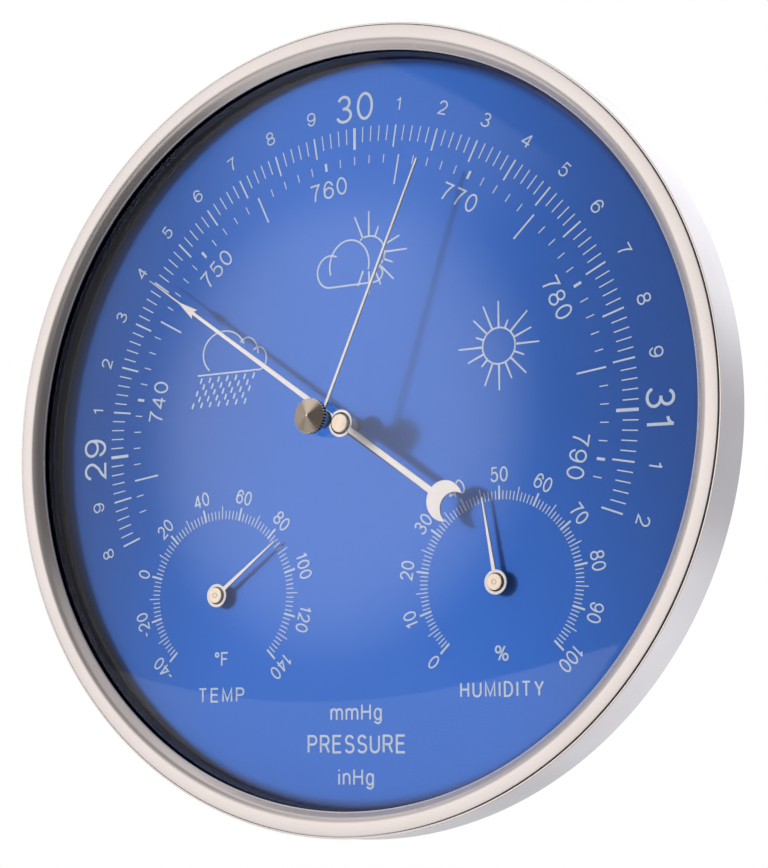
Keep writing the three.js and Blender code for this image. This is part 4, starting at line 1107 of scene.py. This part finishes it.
WORDS = [  # text, middle, height, weight, stretch, gap
    ("oF", (THERMO_CENTRE[0], -36.4), 2.4, 0.12, 1.0, 0.14),
    ("TEMP", (THERMO_CENTRE[0], -42.2), 2.38, 0.125, 1.1, 0.30),
    ("%", (HYGRO_CENTRE[0] + 0.1, -36.7), 2.4, 0.12, 1.0, 0.16),
    ("HUMIDITY", (HYGRO_CENTRE[0], -42.1), 2.38, 0.125, 0.98, 0.24),
    ("mmHg", (0.0, -45.25), 2.6, 0.115, 1.05, 0.20),
    ("PRESSURE", (0.0, -50.2), 2.9, 0.12, 0.96, 0.17),
    ("inHg", (0.0, -55.3), 2.6, 0.115, 1.05, 0.20),
]


def printed_words():
    ink = Print("print_words")
    for words, place, height, weight, wide, gap in WORDS:
        ink.text(words, place, height, weight, wide=wide, gap=gap)
    ink.done()


VIEW_UNIT = 0.4924  # millimetres in the unit in which the signs and the camera are placed
SIGN_LINE = 0.26
RAY_TURN = 22.5
RAY_TAPER = (1.25, 0.9)  # shares of the line's width at a ray's two ends
RAIN_ROWS = 5
RAIN_COLUMNS = 7
RAIN_START = (-61.8, 20.8)
RAIN_PITCH = 3.6
RAIN_FALL = 2.1  # from row to row
RAIN_LEAN = 0.85
RAIN_SHIFT = 1.9  # of every other row
DROP_HALF = (0.35, 0.9)
DROP_WIDTH = 1.15
SUN_RADIUS = 5.8
SUN_PLACE = (53.0, 21.4)
SUN_RAYS = (14.3, 8.6, 14.4, 12.4, 14.2, 9.6, 13.4, 11.6, 14.2, 13.4, 8.8, 12.0, 14.4, 8.8, 12.6, 14.2)
CHANGE_PLACE = (5.4, 56.8)
CHANGE_RAYS = (14.4, 9.6, 0, 12.6, 14.4, 9.8, 13.4, 11.6, 13.2, 11.2, 0, 0, 0, 0, 0, 14.2)


def weather_signs():
    """Sun, a sun behind a cloud, and a cloud with rain."""
    ink = Print("print_weather")

    def line(path, start=1.0, end=1.0):
        placed = [(x * VIEW_UNIT, z * VIEW_UNIT) for x, z in path]
        ink.stroke(placed, SIGN_LINE * start, SIGN_LINE * end)

    def rays(centre, lengths):
        """A length of 0 leaves out the ray."""
        for index, length in enumerate(lengths):
            if length:
                line(along(RAY_TURN * index, [(SUN_RADIUS, 0.0), (length, 0.0)], centre), *RAY_TAPER)

    line(oval(*SUN_PLACE, SUN_RADIUS, SUN_RADIUS))
    rays(SUN_PLACE, SUN_RAYS)
    line(arc(*CHANGE_PLACE, 6.0, 6.0, 124, -38, 30))
    rays(CHANGE_PLACE, CHANGE_RAYS)
    line(arc(-9.6, 52.6, 5.0, 5.4, 60, 270, 30) + arc(7.2, 50.0, 3.4, 2.8, -90, 55, 16))
    line(arc(-2.2, 54.0, 7.6, 8.4, 198, -16, 36))
    line(arc(-52.4, 29.6, 8.6, 7.6, 226, 18, 36))
    line(arc(-42.8, 28.2, 4.4, 5.8, 130, 0, 22))
    line([(-63.2, 22.7), (-40.6, 22.6)] + arc(-38.2, 26.4, 3.2, 3.9, -110, 128, 24))
    for row in range(RAIN_ROWS):
        odd = row % 2
        for column in range(RAIN_COLUMNS - odd):
            x = RAIN_START[0] + RAIN_PITCH * column - RAIN_LEAN * row + RAIN_SHIFT * odd
            z = RAIN_START[1] - RAIN_FALL * row
            top = (x + DROP_HALF[0], z + DROP_HALF[1])
            foot = (x - DROP_HALF[0], z - DROP_HALF[1])
            line([top, foot], DROP_WIDTH, DROP_WIDTH)
    ink.done()


inch_scale()
millimetre_scale()
small_scale("print_temperature", THERMO_CENTRE, range(-40, 142, 2), 1.5, 10, 20)
small_scale("print_humidity", HYGRO_CENTRE, range(0, 101), 2.7, 5, 10)
printed_words()
weather_signs()


# Stage, light and camera

CAMERA_AZIMUTH = math.radians(31.018)
CAMERA_ELEVATION = math.radians(-8.406)
CAMERA_ROLL = math.radians(0.247)
DIAL_IN_VIEW = Vector((-9.311, -2.333, 680.539)) * VIEW_UNIT * MM  # right of, below and ahead of the camera
FOCAL = 86.886
CLIP_START = 0.01  # metres
KEY_FROM = Vector((-0.557, -0.819, 0.139))
KEY_STRENGTH = 3.0
KEY_WIDTH = 7.0  # degrees across
FLOOR_Z = -0.25  # metres, as is the floor's outline
FLOOR_OUTLINE = [
    (-1.3, -0.36), (1.0, -0.86), (1.0, -0.84), (0.1, -0.5),
    (-0.04, -0.25), (-0.05, 0.15), (-0.2, 0.8), (-1.3, 0.8),
]


def add_camera():
    """Camera at the photograph's viewing angle."""
    back = Vector((
        math.sin(CAMERA_AZIMUTH) * math.cos(CAMERA_ELEVATION),
        -math.cos(CAMERA_AZIMUTH) * math.cos(CAMERA_ELEVATION),
        math.sin(CAMERA_ELEVATION),
    ))
    ahead = -back
    level = ahead.cross(Vector((0, 0, 1))).normalized()
    plumb = ahead.cross(level)
    right = level * math.cos(CAMERA_ROLL) + plumb * math.sin(CAMERA_ROLL)
    down = plumb * math.cos(CAMERA_ROLL) - level * math.sin(CAMERA_ROLL)
    to_dial = right * DIAL_IN_VIEW.x + down * DIAL_IN_VIEW.y + ahead * DIAL_IN_VIEW.z
    place = Vector((0, DIAL_FACE * MM, 0)) - to_dial
    data = bpy.data.cameras.new("camera")
    data.lens = FOCAL
    data.clip_start = CLIP_START
    camera = add_object("camera", data)
    turn = Matrix((right, -down, back)).transposed().to_4x4()
    camera.matrix_world = Matrix.Translation(place) @ turn
    bpy.context.scene.camera = camera


def add_key():
    """Soft sun that mirrors don't show."""
    data = bpy.data.lights.new("key", "SUN")
    data.energy = KEY_STRENGTH
    data.angle = math.radians(KEY_WIDTH)
    key = add_object("key", data)
    key.rotation_euler = KEY_FROM.to_track_quat("Z", "Y").to_euler()
    key.visible_glossy = False


def add_floor():
    """Pale floor that lights the object from below. The camera doesn't see it."""
    mesh = bpy.data.meshes.new("floor")
    corners = [(x, y, FLOOR_Z) for x, y in FLOOR_OUTLINE]
    mesh.from_pydata(corners, [], [range(len(corners))])
    mesh.materials.append(floor_white.owner)
    floor = add_object("floor", mesh)
    floor.visible_camera = False


ROOM_BASE = 0.11
ROOM_COLOR = (0.97, 0.98, 1.0, 1.0)
WHITE = (1.0, 1.0, 1.0, 1.0)
BACKDROP = (0.35, 0.8)  # share of +Y in a direction where the white backdrop starts and is whole
EDGE_BLUR = 0.008
LIGHT_PATCHES = [  # direction, outer and inner angle, brightness, and the side that an edge cuts off
    ((-0.51, -0.845, 0.146), 25, 3, 1.7),
    ((0.05, 0.8, 0.6), 40, 14, 1.3),
    ((0.25, 0.78, -0.57), 38, 12, 1.0),
    ((0.5, 0.85, 0.1), 75, 20, 0.50),
    ((-0.97, 0.05, 0.12), 62, 15, 0.36),
    ((-0.4, 0.15, 0.9), 44, 10, 1.1),
    ((-0.42, -0.62, 0.66), 27, 5, 0.6, (0.63, 0.41, 0.66)),
    ((-0.5, -0.74, -0.42), 24, 4, 0.3),
    ((0.35, -0.2, 0.9), 40, 8, 0.7),
    ((-0.85, 0.5, 0.15), 50, 15, 0.35),
]


def add_world():
    """Dim room with soft patches of light. The camera sees white, and mirrors see white behind."""
    world = bpy.data.worlds.new("world")
    bpy.context.scene.world = world
    made = Nodes(world)
    made.tree.nodes.clear()
    sky = made.node("ShaderNodeTexCoord").outputs["Generated"]
    ray = made.node("ShaderNodeLightPath").outputs

    def towards(direction):
        """Cosine of the angle between a ray and a direction."""
        aim = Vector(direction).normalized()
        return made.node("ShaderNodeVectorMath", {0: sky, 1: aim}, operation="DOT_PRODUCT").outputs["Value"]

    brightness = ROOM_BASE
    for direction, outer, inner, amount, *edges in LIGHT_PATCHES:
        start = math.cos(math.radians(outer))
        end = math.cos(math.radians(inner))
        patch = made.spread(towards(direction), 0.0, amount, start, end, "SMOOTHERSTEP")
        for edge in edges:
            kept = made.spread(towards(edge), 0.0, 1.0, EDGE_BLUR, -EDGE_BLUR)
            patch = made.calculate("MULTIPLY", patch, kept)
        brightness = made.calculate("ADD", patch, brightness)
    mirrored = made.calculate("MAXIMUM", ray["Is Glossy Ray"], ray["Is Transmission Ray"])
    backdrop = made.spread(made.split(sky)[1], 0.0, 1.0, *BACKDROP, "SMOOTHSTEP")
    reflected = made.calculate("MULTIPLY", mirrored, backdrop)
    strength = made.calculate("MAXIMUM", brightness, reflected)
    room = made.node("ShaderNodeBackground", {"Color": ROOM_COLOR, "Strength": strength}).outputs[0]
    white = made.node("ShaderNodeBackground", {"Color": WHITE}).outputs[0]
    choose = made.node("ShaderNodeMixShader", {"Fac": ray["Is Camera Ray"], 1: room, 2: white})
    made.node("ShaderNodeOutputWorld", {"Surface": choose.outputs[0]})


add_camera()
add_key()
add_floor()
add_world()
bpy.context.scene.view_settings.view_transform = "Standard"
